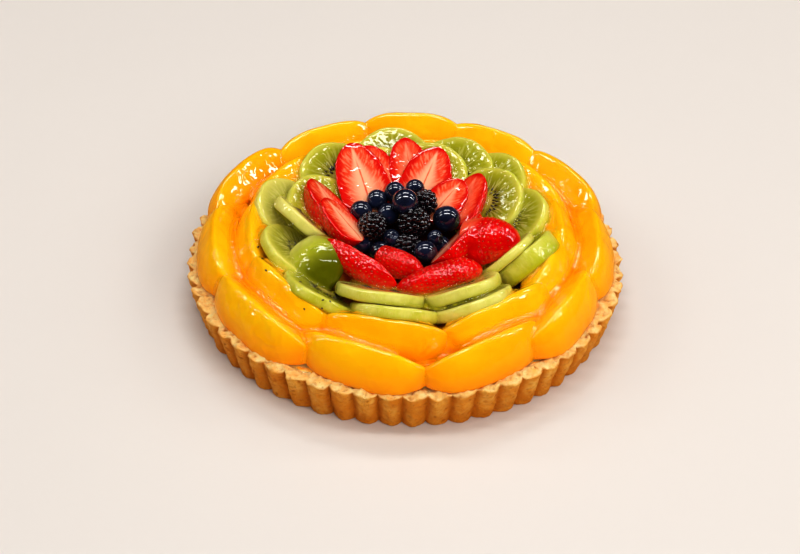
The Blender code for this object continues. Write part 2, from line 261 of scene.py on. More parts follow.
def skin_faces(rows, around, first=0):
    """Quads of a tube of rows x around points, closed by a pole point at each end.

    The poles come first and last in the list of points, and the tube between them.
    """
    faces = []
    start = first + 1
    last = start + rows * around
    for i in range(around):
        j = (i + 1) % around
        faces.append((first, start + j, start + i))
        for row in range(rows - 1):
            low = start + row * around
            faces.append((low + i, low + j, low + around + j, low + around + i))
        faces.append((last, last - around + i, last - around + j))
    return faces


def level_ring(radius, angle, height):
    """Points of a level ring; radius and height may change round it."""
    return np.stack([radius * np.cos(angle), radius * np.sin(angle),
                     np.broadcast_to(height, angle.shape)], 1)


def noise_at(points, size, octaves=1):
    """Smooth noise between about -1 and 1 at each point, with features of that size."""
    places = (np.asarray(points) / size).tolist()
    if octaves == 1:
        return np.array([noise.noise(place) for place in places])
    return np.array([noise.fractal(place, 1.0, 2.0, octaves) for place in places])


def stands_for(piece, node=None):
    """The piece rides on the tart and stands for its CAD solid, if it has one."""
    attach(piece, "root")
    if node in frame["nodes"]:
        low, high = (np.array(corner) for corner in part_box(node))
        corners = np.array([v.co for v in piece.data.vertices])
        missed = max(np.max(corners.min(0) - low), np.max(high - corners.max(0)))
        if missed > BARE_MOST:
            raise ValueError(f"{piece.name} leaves {missed * 1000:.1f} mm of {node} bare")
        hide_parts(node)


def add_piece(name, slot, node, points, around, finish, **values):
    """Closed piece for a CAD solid, from rings of points between two pole points."""
    rows = (len(points) - 2) // around
    piece = add_object(name, points, skin_faces(rows, around), finish, **values)
    stands_for(piece, node)


def new_group(name, inputs, output, kind):
    """Shader group with these inputs and one output, and the outputs of its input node."""
    group = bpy.data.node_groups.new(name, "ShaderNodeTree")
    for socket, socket_kind in inputs.items():
        group.interface.new_socket(socket, in_out="INPUT", socket_type="NodeSocket" + socket_kind)
    group.interface.new_socket(output, in_out="OUTPUT", socket_type="NodeSocket" + kind)
    return group, add_node(group, "NodeGroupInput").outputs


def maths(tree, operation, *values, use_clamp=False):
    """Number that one step of arithmetic makes."""
    return add_node(tree, "ShaderNodeMath", dict(enumerate(values)), operation=operation,
                    use_clamp=use_clamp).outputs[0]


def vector_maths(tree, operation, *values):
    """Vector, or for LENGTH the number, that one step of arithmetic makes."""
    made = add_node(tree, "ShaderNodeVectorMath", dict(enumerate(values)), operation=operation)
    return made.outputs["Value" if operation == "LENGTH" else "Vector"]


# Two colours mixed by broad and fine noise.
MOTTLE, source = new_group("mottle", {
    "Position": "Vector", "Scale": "Float", "Detail": "Float", "Contrast": "Float",
    "Low": "Color", "High": "Color"}, "Colour", "Color")
cloud = clouds(MOTTLE, source["Position"], source["Scale"], source["Detail"])
centred = maths(MOTTLE, "SUBTRACT", cloud, 0.5)
pushed = maths(MOTTLE, "MULTIPLY_ADD", centred, source["Contrast"], 0.5, use_clamp=True)
mixed = blended(MOTTLE, pushed, source["Low"], source["High"])
add_node(MOTTLE, "NodeGroupOutput", {"Colour": mixed})


def mottled(tree, position, scale, low, high, detail=4.0, contrast=2.5):
    """Place the mottle group in a material and return its colour."""
    sockets = {"Position": position, "Scale": scale, "Detail": detail, "Contrast": contrast,
               "Low": full_colour(low), "High": full_colour(high)}
    return add_node(tree, "ShaderNodeGroup", sockets, node_tree=MOTTLE).outputs["Colour"]


def stored(tree, name, kind="Fac"):
    """Value that a piece stores at each of its points."""
    return add_node(tree, "ShaderNodeAttribute", attribute_name=name).outputs[kind]


def stored_place(tree):
    """A piece's own values for its pattern, together and one by one."""
    own = stored(tree, "own", "Vector")
    return own, *add_node(tree, "ShaderNodeSeparateXYZ", {"Vector": own}).outputs


def ramped(tree, value, start, end, soft="SMOOTHSTEP", low=0.0, high=1.0):
    """Number that goes from low to high as value goes from start to end."""
    sockets = {"Value": value, "From Min": start, "From Max": end, "To Min": low, "To Max": high}
    made = add_node(tree, "ShaderNodeMapRange", sockets, interpolation_type=soft)
    return made.outputs["Result"]


def covered(tree, base, colour, *masks):
    """Base colour, covered by another where every mask is high."""
    cover = masks[0]
    for mask in masks[1:]:
        cover = maths(tree, "MULTIPLY", cover, mask)
    return blended(tree, cover, base, colour)


def flute_radius(crest, angle, flutes):
    """Outline of the fluted wall at each angle, with every rib a little different."""
    turn = np.mod(angle + math.pi / 2, 2 * math.pi) * FLUTE_COUNT / (2 * math.pi)
    drift = np.sin(turn * 2 * math.pi * 9 / FLUTE_COUNT) * np.sin(math.pi * turn) ** 2
    turn = turn + FLUTE_DRIFT * drift
    rib = np.floor(turn + 1e-9).astype(int) % FLUTE_COUNT
    swell = np.sin(np.pi * np.clip(turn - np.floor(turn + 1e-9), 0, 1)) ** FLUTE_FULLNESS
    depth = FLUTE_DEPTH * (1.0 + FLUTE_UNEVEN * flutes[rib])
    return crest - depth + (depth - 0.25 * np.abs(flutes[rib])) * swell, swell


flutes = np.random.default_rng(5).uniform(-1, 1, FLUTE_COUNT)
around = FLUTE_COUNT * POINTS_PER_FLUTE
angle = 2 * math.pi * np.arange(around) / around - math.pi / 2
inner_rim = RIM_RADIUS - FLUTE_DEPTH - RIM_WIDTH
circle = level_ring(inner_rim, angle, 0.0)
creep = 0.55 + 0.7 * noise_at(circle + 40, 15.0) + 0.25 * noise_at(circle - 15, 5.0)
inner_edge = inner_rim - RIM_CREEP * np.clip(creep, 0.0, 1.2)
case_rows = []
case_values = []


def add_case_row(radius, height, swell, outer):
    """Keep one ring of the case and, for its colour, rib, height and outer wall or rim."""
    case_rows.append(level_ring(radius, angle, height))
    case_values.append(np.stack([np.broadcast_to(swell, angle.shape),
                                 np.full(around, np.mean(height) / CASE_HEIGHT),
                                 np.full(around, outer)], 1))


for part in (0.35, 0.7, 0.95):
    radius, swell = flute_radius(FOOT_RADIUS, angle, flutes)
    add_case_row(radius * part, 0.0, swell, 1.0)
wall_top = CASE_HEIGHT - EDGE_ROUNDING
for height in np.linspace(0.0, wall_top, WALL_ROWS):
    crest = FOOT_RADIUS + (RIM_RADIUS - FOOT_RADIUS) * height / CASE_HEIGHT
    foot_tuck = 0.7 * max(0.0, 1.0 - height / 1.5) ** 2
    radius, swell = flute_radius(crest - foot_tuck, angle, flutes)
    add_case_row(radius, height, swell, 1.0)
for part in (0.25, 0.5, 0.75, 1.0):
    crest = RIM_RADIUS - EDGE_ROUNDING * (1 - math.cos(part * math.pi / 2))
    radius, swell = flute_radius(crest, angle, flutes)
    height = wall_top + EDGE_ROUNDING * math.sin(part * math.pi / 2)
    add_case_row(radius, height, swell, 1.0 - part)
rim_radius, swell = flute_radius(RIM_RADIUS - EDGE_ROUNDING, angle, flutes)
for part in np.linspace(0.12, 1.0, 9):
    radius = rim_radius * (1 - part) + inner_edge * part
    sink = RIM_SLOPE * part ** 3 + 0.5 * (1 - swell) * (1 - part)
    add_case_row(radius, CASE_HEIGHT - sink, swell * (1 - part) + part, 0.0)
for part in (0.12, 0.3, 0.6, 1.0):
    radius = inner_edge - WALL_TAPER * part
    height = CASE_HEIGHT - RIM_SLOPE - (CASE_HEIGHT - RIM_SLOPE - BASE_THICKNESS) * part
    add_case_row(radius, height, 1.0, 0.0)
add_case_row((inner_edge - WALL_TAPER) * 0.5, BASE_THICKNESS, 1.0, 0.0)

tube = np.vstack(case_rows)
values = np.vstack(case_values)
outward = tube * (1, 1, 0) / np.linalg.norm(tube[:, :2], axis=1)[:, None]
upward = 1.0 - values[:, 2]
rough = noise_at(tube, LUMP_SIZE) * LUMP + noise_at(tube, GRAIN_SIZE, 3) * GRAIN
pits = np.clip(noise_at(tube + 50, PIT_SIZE) - 0.30, 0, 1) * 2.2 * PIT
level = tube * (0.22, 0.22, 0.62)
cracks = np.clip(noise_at(level, 1.0) - 0.28, 0, 1) * 2.6 * CRACK
cracks *= np.exp(-((tube[:, 2] - CRACK_HEIGHT) / CRACK_REACH) ** 2) * values[:, 2]
torn = np.clip((tube[:, 2] - CRUMBS_FROM * CASE_HEIGHT) / (0.25 * CASE_HEIGHT), 0, 1)
crumbs = torn * (noise_at(tube + 20, 2.9) * 0.6 + noise_at(tube - 70, 1.7) * 0.45) * RIM_CRUMB
push = rough + crumbs - pits - cracks
rise = noise_at(tube + 90, RIM_WAVE_SIZE, 2) * RIM_WAVE
tube[:, 2] += (tube[:, 2] / CASE_HEIGHT) ** 3 * rise
on_floor = tube[:, 2] < 0.05
tube += outward * (push * (0.35 + 0.65 * values[:, 2]))[:, None]
tube[:, 2] += np.where(on_floor, 0.0, push * (0.25 + 0.75 * upward) * 1.1)
tube[:, 2] = np.maximum(tube[:, 2], 0.0)
case_points = np.vstack([[0, 0, 0], tube, [0, 0, BASE_THICKNESS]]) * MM
case_own = np.vstack([[1, 0, 1], values, [1, 0.2, 0]])
case_dent_shade = np.concatenate([[0], np.clip((pits + cracks) / 0.9, 0, 1), [0]])

case_finish, tree, shader, place = new_finish("baked_shortcrust", {
    "Roughness": 0.72, "Specular IOR Level": 0.35}, (0.06, (1.0, 0.5, 0.2), 0.0015))
own, own_x, own_y, own_z = stored_place(tree)
crumb = mottled(tree, place, 330.0, (0.85, 0.35, 0.040), (0.98, 0.58, 0.140))
baked = mottled(tree, place, 70.0, (0.78, 0.29, 0.026), crumb, 3.0, 3.0)
pale = mottled(tree, place, 240.0, (0.97, 0.53, 0.15), (1.0, 0.78, 0.36), 4.0, 2.6)
# Painted shade: the wall grows darker towards its foot.
baked = covered(tree, baked, (0.62, 0.20, 0.012), ramped(tree, own_y, 0.8, 0.1), 0.45)
# Painted shade: the flute valleys are darker than the ribs.
baked = covered(tree, baked, (0.66, 0.22, 0.016), ramped(tree, own_x, 0.85, 0.15))
baked = covered(tree, baked, pale, ramped(tree, own_z, 0.85, 0.1))
# Painted shade: the pits and cracks are darker.
baked = covered(tree, baked, (0.56, 0.17, 0.016), stored(tree, "dent"))
specks = ramped(tree, clouds(tree, place, 900.0, 2.0), 0.64, 0.74)
baked = covered(tree, baked, (0.46, 0.14, 0.020), specks, 0.55)
painted(shader, baked)
coarse = clouds(tree, place, 800.0, 5.0, Roughness=0.65)
bump = add_node(tree, "ShaderNodeBump", {"Height": coarse, "Strength": 0.9, "Distance": 0.0018})
tree.links.new(bump.outputs["Normal"], shader.inputs["Normal"])

add_piece("case", "baked_crust", "crust", case_points, around, case_finish,
          own=case_own, dent=case_dent_shade)

# ---- Custard ----
# Set custard poured into the baked case. Its top is nearly level, creeps up a
# little where it meets the pastry, and is painted dark in the middle as shade under
# the heaped berries, tinged red like their juice.
CUSTARD_TOP = 21.0
CUSTARD_FOOT = BASE_THICKNESS + 0.4
CUSTARD_CREEP = 0.9
CUSTARD_AROUND = 168
angle = 2 * math.pi * np.arange(CUSTARD_AROUND) / CUSTARD_AROUND
rows = [(0.5, CUSTARD_FOOT, 0.0), (0.965, CUSTARD_FOOT, 0.0), (0.985, 14.0, 0.0)]
for part in (1.0, 0.993, 0.98, 0.96, 0.93, 0.89, 0.84, 0.78, 0.7, 0.6, 0.5, 0.4, 0.3, 0.2, 0.1):
    rows.append((part, CUSTARD_TOP + CUSTARD_CREEP * max(0.0, (part - 0.93) / 0.07) ** 2, 1.0))
custard_radius = inner_rim - (CASE_HEIGHT - CUSTARD_TOP) * WALL_TAPER / CASE_HEIGHT
rings = []
for part, height, loose in rows:
    ring = level_ring(custard_radius * part, angle, height)
    ring[:, 2] += loose * 0.5 * noise_at(ring, 16.0, 2)
    rings.append(ring)
points = np.vstack([[0, 0, CUSTARD_FOOT], *rings, [0, 0, CUSTARD_TOP]]) * MM
custard_finish, tree, shader, place = new_finish("glazed_custard", {
    "Roughness": 0.5, "Specular IOR Level": 0.12, "Coat Weight": 0.05, "Coat Roughness": 0.2},
    (0.25, (1.0, 0.7, 0.35), 0.003))
cream = mottled(tree, place, 120.0, (0.93, 0.72, 0.26), (0.97, 0.82, 0.40), 3.0, 2.0)
reach = vector_maths(tree, "LENGTH", vector_maths(tree, "MULTIPLY", place, (1, 1, 0)))
cream = covered(tree, cream, (0.95, 0.42, 0.014), ramped(tree, reach, 0.094, 0.086))
# Painted shade under the heaped berries in the middle, tinged red like their juice.
cream = covered(tree, cream, (0.16, 0.010, 0.003), ramped(tree, reach, 0.048, 0.034))
painted(shader, cream)
add_piece("custard_filling", "custard", "custard", points, CUSTARD_AROUND, custard_finish)

# ---- Peach slices ----
# Ripe peach cut into wedges: a round peeled skin side, two flat cut sides and the
# shallow hollow left by the stone. They lie round the tart in two rings.
PEACH_PIT = 15.0
PEACH_FLESH = 20.0
PEACH_HALF_ANGLE = 22.0
PEACH_ROUNDING = 2.3        # softness of the edges between skin and cut sides
PEACH_TIP = 0.91            # beyond this part of the half length the slice rounds off
PEACH_STATIONS = 46
SKIN_ARC_POINTS = 27
STONE_ARC_POINTS = 11
CUT_SIDE_POINTS = 11
PEACH_AROUND = SKIN_ARC_POINTS + STONE_ARC_POINTS + 2 * CUT_SIDE_POINTS
PEACH_SWELL = 0.45
PEACH_REACH = 2.6           # how far the soft tips press into their neighbours
# Azimuth, distance and height of the stone axis, half length, turn and lean.
PEACHES = {
    "outer_peach_01": (-100, 79, 21.6, 34.5, -13, 23),
    "outer_peach_02": (-67, 79, 21.6, 36, 13, 23),
    "outer_peach_03": (-34, 79, 21.6, 35, 8, 23),
    "outer_peach_04": (0, 80, 21.6, 36, 0, 24),
    "outer_peach_05": (34, 84, 21.6, 35, 4, 24),
    "outer_peach_06": (62, 83, 22, 34, 0, 26),
    "outer_peach_07": (89, 84, 22.6, 32, 0, 29),
    "outer_peach_08": (117, 82, 21.8, 33, 0, 26),
    "outer_peach_09": (149, 84, 22, 35, 0, 24),
    "outer_peach_10": (183, 80, 21.6, 35, 0, 24),
    "outer_peach_11": (220, 79, 21.6, 38, -2, 22),
    "inner_peach_01": (-97, 58.5, 24.2, 34.5, -3, 23),
    "inner_peach_02": (-51, 59, 25.5, 35, 0, 23),
    "inner_peach_03": (-14, 57.5, 25.5, 33, 0, 23),
    "inner_peach_04": (6, 60, 25.5, 31, 0, 24),
    "inner_peach_05": (33, 62, 26, 34, 0, 25),
    "inner_peach_09": (147, 60, 26, 33, 0, 25),
    "inner_peach_10": (181, 60, 25.5, 33, 0, 24),
    "inner_peach_11": (218, 59, 25.5, 34.5, 0, 23),
    "inner_peach_06": (71, 60, 23.5, 33, 0, 19),
    "inner_peach_07": (109, 60, 23.5, 33, 0, 19),
}
UP = np.array([0.0, 0.0, 1.0])


def turned(origin, x_way, z_hint):
    """Origin and the three axes of a piece's own frame: X as given, Z near the hint."""
    x_axis = np.asarray(x_way, float) / np.linalg.norm(x_way)
    z_axis = np.asarray(z_hint, float) - x_axis * np.dot(z_hint, x_axis)
    z_axis /= np.linalg.norm(z_axis)
    return np.asarray(origin, float), np.stack([x_axis, np.cross(z_axis, x_axis), z_axis])


def laid(points, frame_of_piece):
    """Points of a piece's own frame, laid on the tart and in metres."""
    origin, axes = frame_of_piece
    return (origin + np.asarray(points) @ axes) * MM


def polar(azimuth, distance, height):
    """Place at that azimuth in degrees, distance from the tart's axis and height."""
    turn = math.radians(azimuth)
    return np.array([distance * math.cos(turn), distance * math.sin(turn), height])


def softened(outline, rounding, fine=512):
    """The same closed outline, point for point, with its corners rounded."""
    closed = np.vstack([outline, outline[:1]])
    steps = np.linalg.norm(np.diff(closed, axis=0), axis=1)
    places = np.concatenate([[0.0], np.cumsum(steps)])
    even = np.linspace(0.0, places[-1], fine, endpoint=False)
    curve = np.interp(even, places, closed[:, 0]) + 1j * np.interp(even, places, closed[:, 1])
    waves = np.fft.fftfreq(fine, d=places[-1] / fine)
    calm = np.fft.ifft(np.fft.fft(curve) * np.exp(-2 * (np.pi * waves * rounding) ** 2))
    back = np.append(calm, calm[0])
    at = np.append(even, places[-1])
    return np.stack([np.interp(places[:-1], at, side) for side in (back.real, back.imag)], 1)


def peach_outline(along):
    """Cross-section of a slice: skin arc, upper cut side, stone hollow, lower cut side."""
    hollow = PEACH_PIT * (1.0 - 0.12 * along ** 2)
    flesh = PEACH_FLESH * max(1.0 - abs(along) ** 3.0, 0.06) ** 0.5
    spread = math.radians(PEACH_HALF_ANGLE) * (1.0 - 0.4 * along ** 6)
    skin = np.linspace(-1, 1, SKIN_ARC_POINTS)
    skin_side = (hollow + flesh) * np.stack([np.cos(skin * spread), np.sin(skin * spread)], 1)
    stone = np.linspace(1, -1, STONE_ARC_POINTS)
    stone_side = hollow * np.stack([np.cos(stone * spread), np.sin(stone * spread)], 1)
    across = np.linspace(0, 1, CUT_SIDE_POINTS + 2)[1:-1, None]
    upper = skin_side[-1] * (1 - across) + stone_side[0] * across
    lower = stone_side[-1] * (1 - across) + skin_side[0] * across
    outline = np.vstack([skin_side, upper, stone_side, lower])
    return softened(outline, min(PEACH_ROUNDING, 0.19 * flesh))


def peach_shape(half_length, seed):
    """Points of one slice in its own frame, with its two tips first and last."""
    rings = []
    for along in np.sin(np.linspace(-math.pi / 2, math.pi / 2, PEACH_STATIONS + 2))[1:-1]:
        outline = peach_outline(along)
        middle = outline.mean(0)
        beyond = max(0.0, (abs(along) - PEACH_TIP) / (1 - PEACH_TIP))
        outline = middle + (outline - middle) * math.sqrt(1 - beyond ** 2)
        rings.append(np.column_stack([np.full(len(outline), along * half_length), outline]))
    first = [-half_length, *rings[0][:, 1:].mean(0)]
    last = [half_length, *rings[-1][:, 1:].mean(0)]
    shape = np.vstack([first, *rings, last])
    core = np.column_stack([shape[:, 0] * 0.9, np.full(len(shape), 25.0), np.zeros(len(shape))])
    way = shape - core
    way /= np.linalg.norm(way, axis=1)[:, None]
    swell = noise_at(shape + seed * 37.0, 13.0) * PEACH_SWELL
    swell += noise_at(shape - seed * 11.0, 5.0) * 0.10
    return shape + way * swell[:, None]


# The slow waves that clear glaze makes over wet fruit.
FILM, source = new_group("glaze_film", {"Position": "Vector", "Scale": "Float", "Height": "Float"},
                         "Normal", "Vector")
wave = clouds(FILM, source["Position"], source["Scale"], 1.0, Distortion=0.5)
bump = add_node(FILM, "ShaderNodeBump", {
    "Height": wave, "Strength": 1.0, "Distance": source["Height"]})
add_node(FILM, "NodeGroupOutput", {"Normal": bump.outputs["Normal"]})


def filmed(tree, position, shader, scale, height):
    """Give a wet fruit's shader the wavy surface of the glaze film."""
    sockets = {"Position": position, "Scale": scale, "Height": height}
    normal = add_node(tree, "ShaderNodeGroup", sockets, node_tree=FILM).outputs["Normal"]
    tree.links.new(normal, shader.inputs["Normal"])
    tree.links.new(normal, shader.inputs["Coat Normal"])


WET = {"Roughness": 0.45, "Specular IOR Level": 0.08, "Coat Weight": 1.0, "Coat Roughness": 0.045,
       "Coat IOR": 1.55}

peach_finish, tree, shader, place = new_finish("peach_flesh", {
    **WET, "Coat IOR": 1.65, "Coat Roughness": 0.022}, (0.25, (1.0, 0.42, 0.05), 0.006))
height = add_node(tree, "ShaderNodeSeparateXYZ", {"Vector": place}).outputs["Z"]
own, own_x, own_y, own_z = stored_place(tree)
# Painted light and shade: the flesh is deeper orange low on the tart and lighter high up.
low_shaded_flesh = mottled(tree, place, 60.0, (0.95, 0.27, 0.001), (0.97, 0.35, 0.001), 3.0, 2.0)
lit = mottled(tree, place, 45.0, (0.980, 0.445, 0.002), (0.990, 0.570, 0.010), 3.0, 2.0)
flesh = covered(tree, low_shaded_flesh, lit, ramped(tree, height, 0.020, 0.044))
veins = clouds(tree, own, 9.0, 3.0)
flesh = covered(tree, flesh, (0.90, 0.20, 0.004), ramped(tree, own_y, 0.35, 0.0), veins)
flesh = covered(tree, flesh, (0.93, 0.25, 0.001), ramped(tree, own_x, 0.78, 1.05), 0.6)
flesh = covered(tree, flesh, (0.94, 0.32, 0.001), stored(tree, "tint"), 0.35)
painted(shader, flesh)
patch = clouds(tree, place, 38.0, 1.0)
filmed(tree, place, shader, 130.0, ramped(tree, patch, 0.52, 0.70, low=0.0005, high=0.0015))

for number, (name, row) in enumerate(PEACHES.items()):
    azimuth, distance, height, half_length, turn, lean = row
    half_length += PEACH_REACH
    shape = peach_shape(half_length, number)
    out = polar(azimuth + turn, 1.0, 0.0)
    lean = math.radians(lean)
    stand = turned(polar(azimuth, distance, height), np.cross(out, UP),
                   UP * math.cos(lean) - out * math.sin(lean))
    own = np.column_stack([np.abs(shape[:, 0]) / half_length,
                           (np.hypot(shape[:, 1], shape[:, 2]) - PEACH_PIT) / PEACH_FLESH,
                           shape[:, 2] / PEACH_FLESH])
    add_piece(name + "_slice", "peach", name, laid(shape, stand), PEACH_AROUND, peach_finish,
              own=own, tint=(number * 0.618) % 1.0)

# Where the tips of the slices meet, glaze and juice have set in deep beads.
GLAZE_BEADS = ((198, 93.5, 24, 8.5), (22, 98, 24, 8.5), (-77, 87, 22, 8.5), (-122, 93, 23, 8.0),
               (162, 96.5, 24, 8.5), (142, 98, 24, 8.5), (-36, 92, 23, 7.0), (-84, 97, 20, 7.5),
               (-72, 93, 21, 7.0), (-31, 70, 23, 7.5), (130, 97, 23, 8.5), (54, 95, 23, 8.0),
               (84, 96, 21, 8.0), (97, 96, 21, 8.0))
BEAD_ROWS = 14
BEAD_AROUND = 22
BEAD_SWELL = 0.8


def ball_grid(rows, around, crowding=1.0):
    """Angles from the pole and round the axis, for each point of a ball's rows."""
    fall = math.pi * np.linspace(0, 1, rows + 2)[1:-1] ** crowding
    angle = -2 * math.pi * np.arange(around) / around
    return (grid.ravel() for grid in np.meshgrid(fall, angle, indexing="ij"))


glaze_finish, tree, shader, place = new_finish("set_glaze", {
    **WET, "Coat IOR": 1.65}, (0.25, (1.0, 0.35, 0.05), 0.005))
amber = mottled(tree, place, 120.0, (0.93, 0.22, 0.002), (0.96, 0.36, 0.004), 3.0, 2.0)
painted(shader, amber)
filmed(tree, place, shader, 200.0, 0.0008)
fall, angle = ball_grid(BEAD_ROWS, BEAD_AROUND)
ball = np.stack([np.sin(fall) * np.cos(angle), np.sin(fall) * np.sin(angle), np.cos(fall)], 1)
ball = np.vstack([[0, 0, 1], ball, [0, 0, -1]])
points = []
faces = []
for azimuth, distance, height, radius in GLAZE_BEADS:
    bead = ball * radius + polar(azimuth, distance, height)
    bead += ball * (noise_at(bead, 6.0) * BEAD_SWELL)[:, None]
    faces.extend(skin_faces(BEAD_ROWS, BEAD_AROUND, len(points) * len(ball)))
    points.append(bead)
beads = add_object("peach_glaze_filling", np.vstack(points) * MM, faces, glaze_finish)
stands_for(beads)

# ---- Kiwi slices ----
# Peeled kiwi cut across: a pale core, rays, a ring of black seeds and bright green
# flesh, with the flats of the peeling knife round the edge. One end piece is a dome.
KIWI_THICKNESS = 6.8
KIWI_AROUND = 112
KIWI_EDGE = 1.8             # rounding between face and peeled edge
KIWI_FLATS = 11
# Azimuth, distance and height of the middle, radius, way the raised edge faces, tilt
# and, where it is not the usual one, thickness.
KIWIS = {
    "outer_kiwi_01": (-95, 63, 36, 24, -99, 38),
    "outer_kiwi_02": (-57, 64, 36, 24, -54, 37),
    "outer_kiwi_03": (-13.9, 67.2, 36.5, 21, -34, 53, 11.5),
    "outer_kiwi_04": (18, 60, 36, 24, 16, 34),
    "outer_kiwi_05": (45.5, 65.5, 39, 23, 45, 32),
    "outer_kiwi_06": (65, 62, 40, 24, 66, 33),
    "outer_kiwi_07": (97, 65.5, 39.5, 24, 95, 30),
    "outer_kiwi_08": (127, 63, 39, 24, 125, 33),
    "outer_kiwi_09": (163, 66, 37, 24, 163, 34),
    "outer_kiwi_10": (197, 60.5, 37, 24, 195, 35),
    "outer_kiwi_11": (229, 66, 36, 24, 224, 37),
    "inner_kiwi_01": (-104, 54, 40, 24.5, -104, 34),
    "inner_kiwi_02": (-57, 55, 40, 22, -56, 35),
    "inner_kiwi_03": (-18.6, 56.5, 40, 19.5, -34, 50, 5.5),
    "inner_kiwi_04": (36, 54, 39, 23, 40, 33),
    "inner_kiwi_05": (77, 49, 42, 24, 70, 32),
    "inner_kiwi_06": (107, 48, 40, 23, 107, 31),
    "inner_kiwi_07": (154, 51, 38, 23, 145, 32),
    "inner_kiwi_08": (171.7, 57.3, 42, 19.5, 214, 48),
}
KIWI_END = (211, 56, 37, 19.5, 212, -35)
KIWI_END_DEPTH = 15.0
SEEDS_PER_SLICE = 44
# Slices whose green goes over to cream, and how far.
CREAM_KIWIS = {"inner_kiwi_01": 0.30, "inner_kiwi_02": 0.35, "inner_kiwi_03": 0.30,
               "inner_kiwi_08": 0.55, "outer_kiwi_01": 0.15, "outer_kiwi_02": 0.40,
               "outer_kiwi_09": 0.35, "outer_kiwi_10": 0.10}
# Rings of points on the cut face, as parts of the radius.
KIWI_FACE = (0.04, 0.1, 0.16, 0.21, 0.26, 0.31, 0.37, 0.43, 0.5, 0.58, 0.67, 0.76, 0.84, 0.91)
KIWI_DIP = 0.28             # depth of the face where the seeds lie
KIWI_CORE_RISE = 0.12
KIWI_SAG = 0.8              # how far a whole slice bends
SEED_SINK = 0.12            # how deep a seed lies in the face


def peeled_radius(angle, chance):
    """Outline of a peeled slice as a part of its radius: a circle with knife flats."""
    radius = np.ones_like(angle)
    for flat in range(KIWI_FLATS):
        way = 2 * math.pi * (flat + chance.uniform(-0.35, 0.35)) / KIWI_FLATS
        turn = np.cos(angle - way)
        reach = chance.uniform(0.955, 0.99) / np.maximum(turn, 0.05)
        radius = np.where(turn > 0.05, np.minimum(radius, reach), radius)
    soft = np.stack([np.roll(radius, k) for k in range(-3, 4)])
    return soft.mean(0)


def kiwi_shape(radius, thickness, seed):
    """Points of one slice, with the pole of its upper face first."""
    chance = np.random.default_rng(seed)
    angle = -2 * math.pi * np.arange(KIWI_AROUND) / KIWI_AROUND
    outline = peeled_radius(angle, chance) * radius
    half = thickness / 2
    rows = []
    for part in KIWI_FACE:
        ray = np.sin(angle * 38 + 3 * np.sin(angle * 3)) * math.exp(-((part - 0.4) / 0.2) ** 2)
        dip = KIWI_DIP * math.exp(-((part - 0.36) / 0.11) ** 2)
        dip -= KIWI_CORE_RISE * math.exp(-(part / 0.14) ** 2)
        rows.append((part, half - dip + 0.05 * ray))
    for turn in np.radians((75, 50, 25, 0)):
        rows.append((1 - KIWI_EDGE / radius * (1 - math.cos(turn)),
                     half - KIWI_EDGE * (1 - math.sin(turn))))
    rows.append((1.0, 0.0))
    for turn in np.radians((0, 30, 65)):
        rows.append((1 - KIWI_EDGE / radius * (1 - math.cos(turn)),
                     KIWI_EDGE * (1 - math.sin(turn)) - half))
    rows.extend([(0.9, -half), (0.6, -half), (0.3, -half)])
    rings = []
    for part, level in rows:
        blunt = np.where(part > 0.5, outline, radius + (outline - radius) * part * 2)
        rings.append(level_ring(blunt * part, angle, level))
    shape = np.vstack([[0, 0, half + 0.1], *rings, [0, 0, -half]])
    shape[:, 2] += noise_at(shape * (1, 1, 0.1) + seed * 19.0, 21.0) * KIWI_SAG
    shape[:, :2] *= (1 + 0.012 * noise_at(shape + seed * 7.0, 6.0))[:, None]
    return shape


def tilted(azimuth, distance, height, facing, tilt):
    """Frame of a round slice: its middle, and the way that its raised edge faces."""
    out = polar(facing, 1.0, 0.0)
    tilt = math.radians(tilt)
    return turned(polar(azimuth, distance, height), out * math.cos(tilt) + UP * math.sin(tilt), UP)


def grain_turn(x_way, z_hint):
    """Turn of a grain whose X lies along x_way, with its Z near the hint."""
    return Matrix(turned((0, 0, 0), x_way, z_hint)[1].T.tolist()).to_euler()


kiwi_finish, tree, shader, place = new_finish("kiwi_flesh", WET, (0.18, (0.7, 1.0, 0.15), 0.0035))
own, own_x, own_y, own_z = stored_place(tree)
tint = stored(tree, "tint")
flat_own = vector_maths(tree, "MULTIPLY", own, (1, 1, 0))
reach = vector_maths(tree, "LENGTH", flat_own)
way = vector_maths(tree, "NORMALIZE", flat_own)
spoke = vector_maths(tree, "MULTIPLY", way, (5.5, 5.5, 5.5))
inward = add_node(tree, "ShaderNodeCombineXYZ", {"Z": reach}).outputs[0]
ray_place = vector_maths(tree, "MULTIPLY_ADD", inward, (0, 0, 1.3), spoke)
rays = ramped(tree, clouds(tree, ray_place, 2.6, 2.0), 0.48, 0.60)
band = add_node(tree, "ShaderNodeValToRGB", {"Fac": reach})
band.color_ramp.elements.remove(band.color_ramp.elements[1])
for stop, *colour in ((0.0, 0.60, 0.43, 0.15), (0.19, 0.52, 0.39, 0.11), (0.25, 0.28, 0.24, 0.035),
                      (0.40, 0.15, 0.14, 0.008), (0.56, 0.23, 0.22, 0.009),
                      (0.78, 0.34, 0.32, 0.018), (0.93, 0.56, 0.495, 0.075),
                      (1.0, 0.64, 0.57, 0.12)):
    step = band.color_ramp.elements.new(stop) if stop else band.color_ramp.elements[0]
    step.color = (*colour, 1.0)
face = covered(tree, band.outputs["Color"], (0.64, 0.57, 0.19), ramped(tree, reach, 0.20, 0.30),
               ramped(tree, reach, 1.02, 0.50), rays, 0.55)
peeled = mottled(tree, place, 110.0, (0.50, 0.49, 0.030), (0.71, 0.665, 0.165), 3.0, 2.8)
threads = clouds(tree, vector_maths(tree, "MULTIPLY", own, (16, 16, 0.7)), 2.2, 2.0)
peeled = covered(tree, peeled, (0.74, 0.70, 0.22), ramped(tree, threads, 0.50, 0.90))
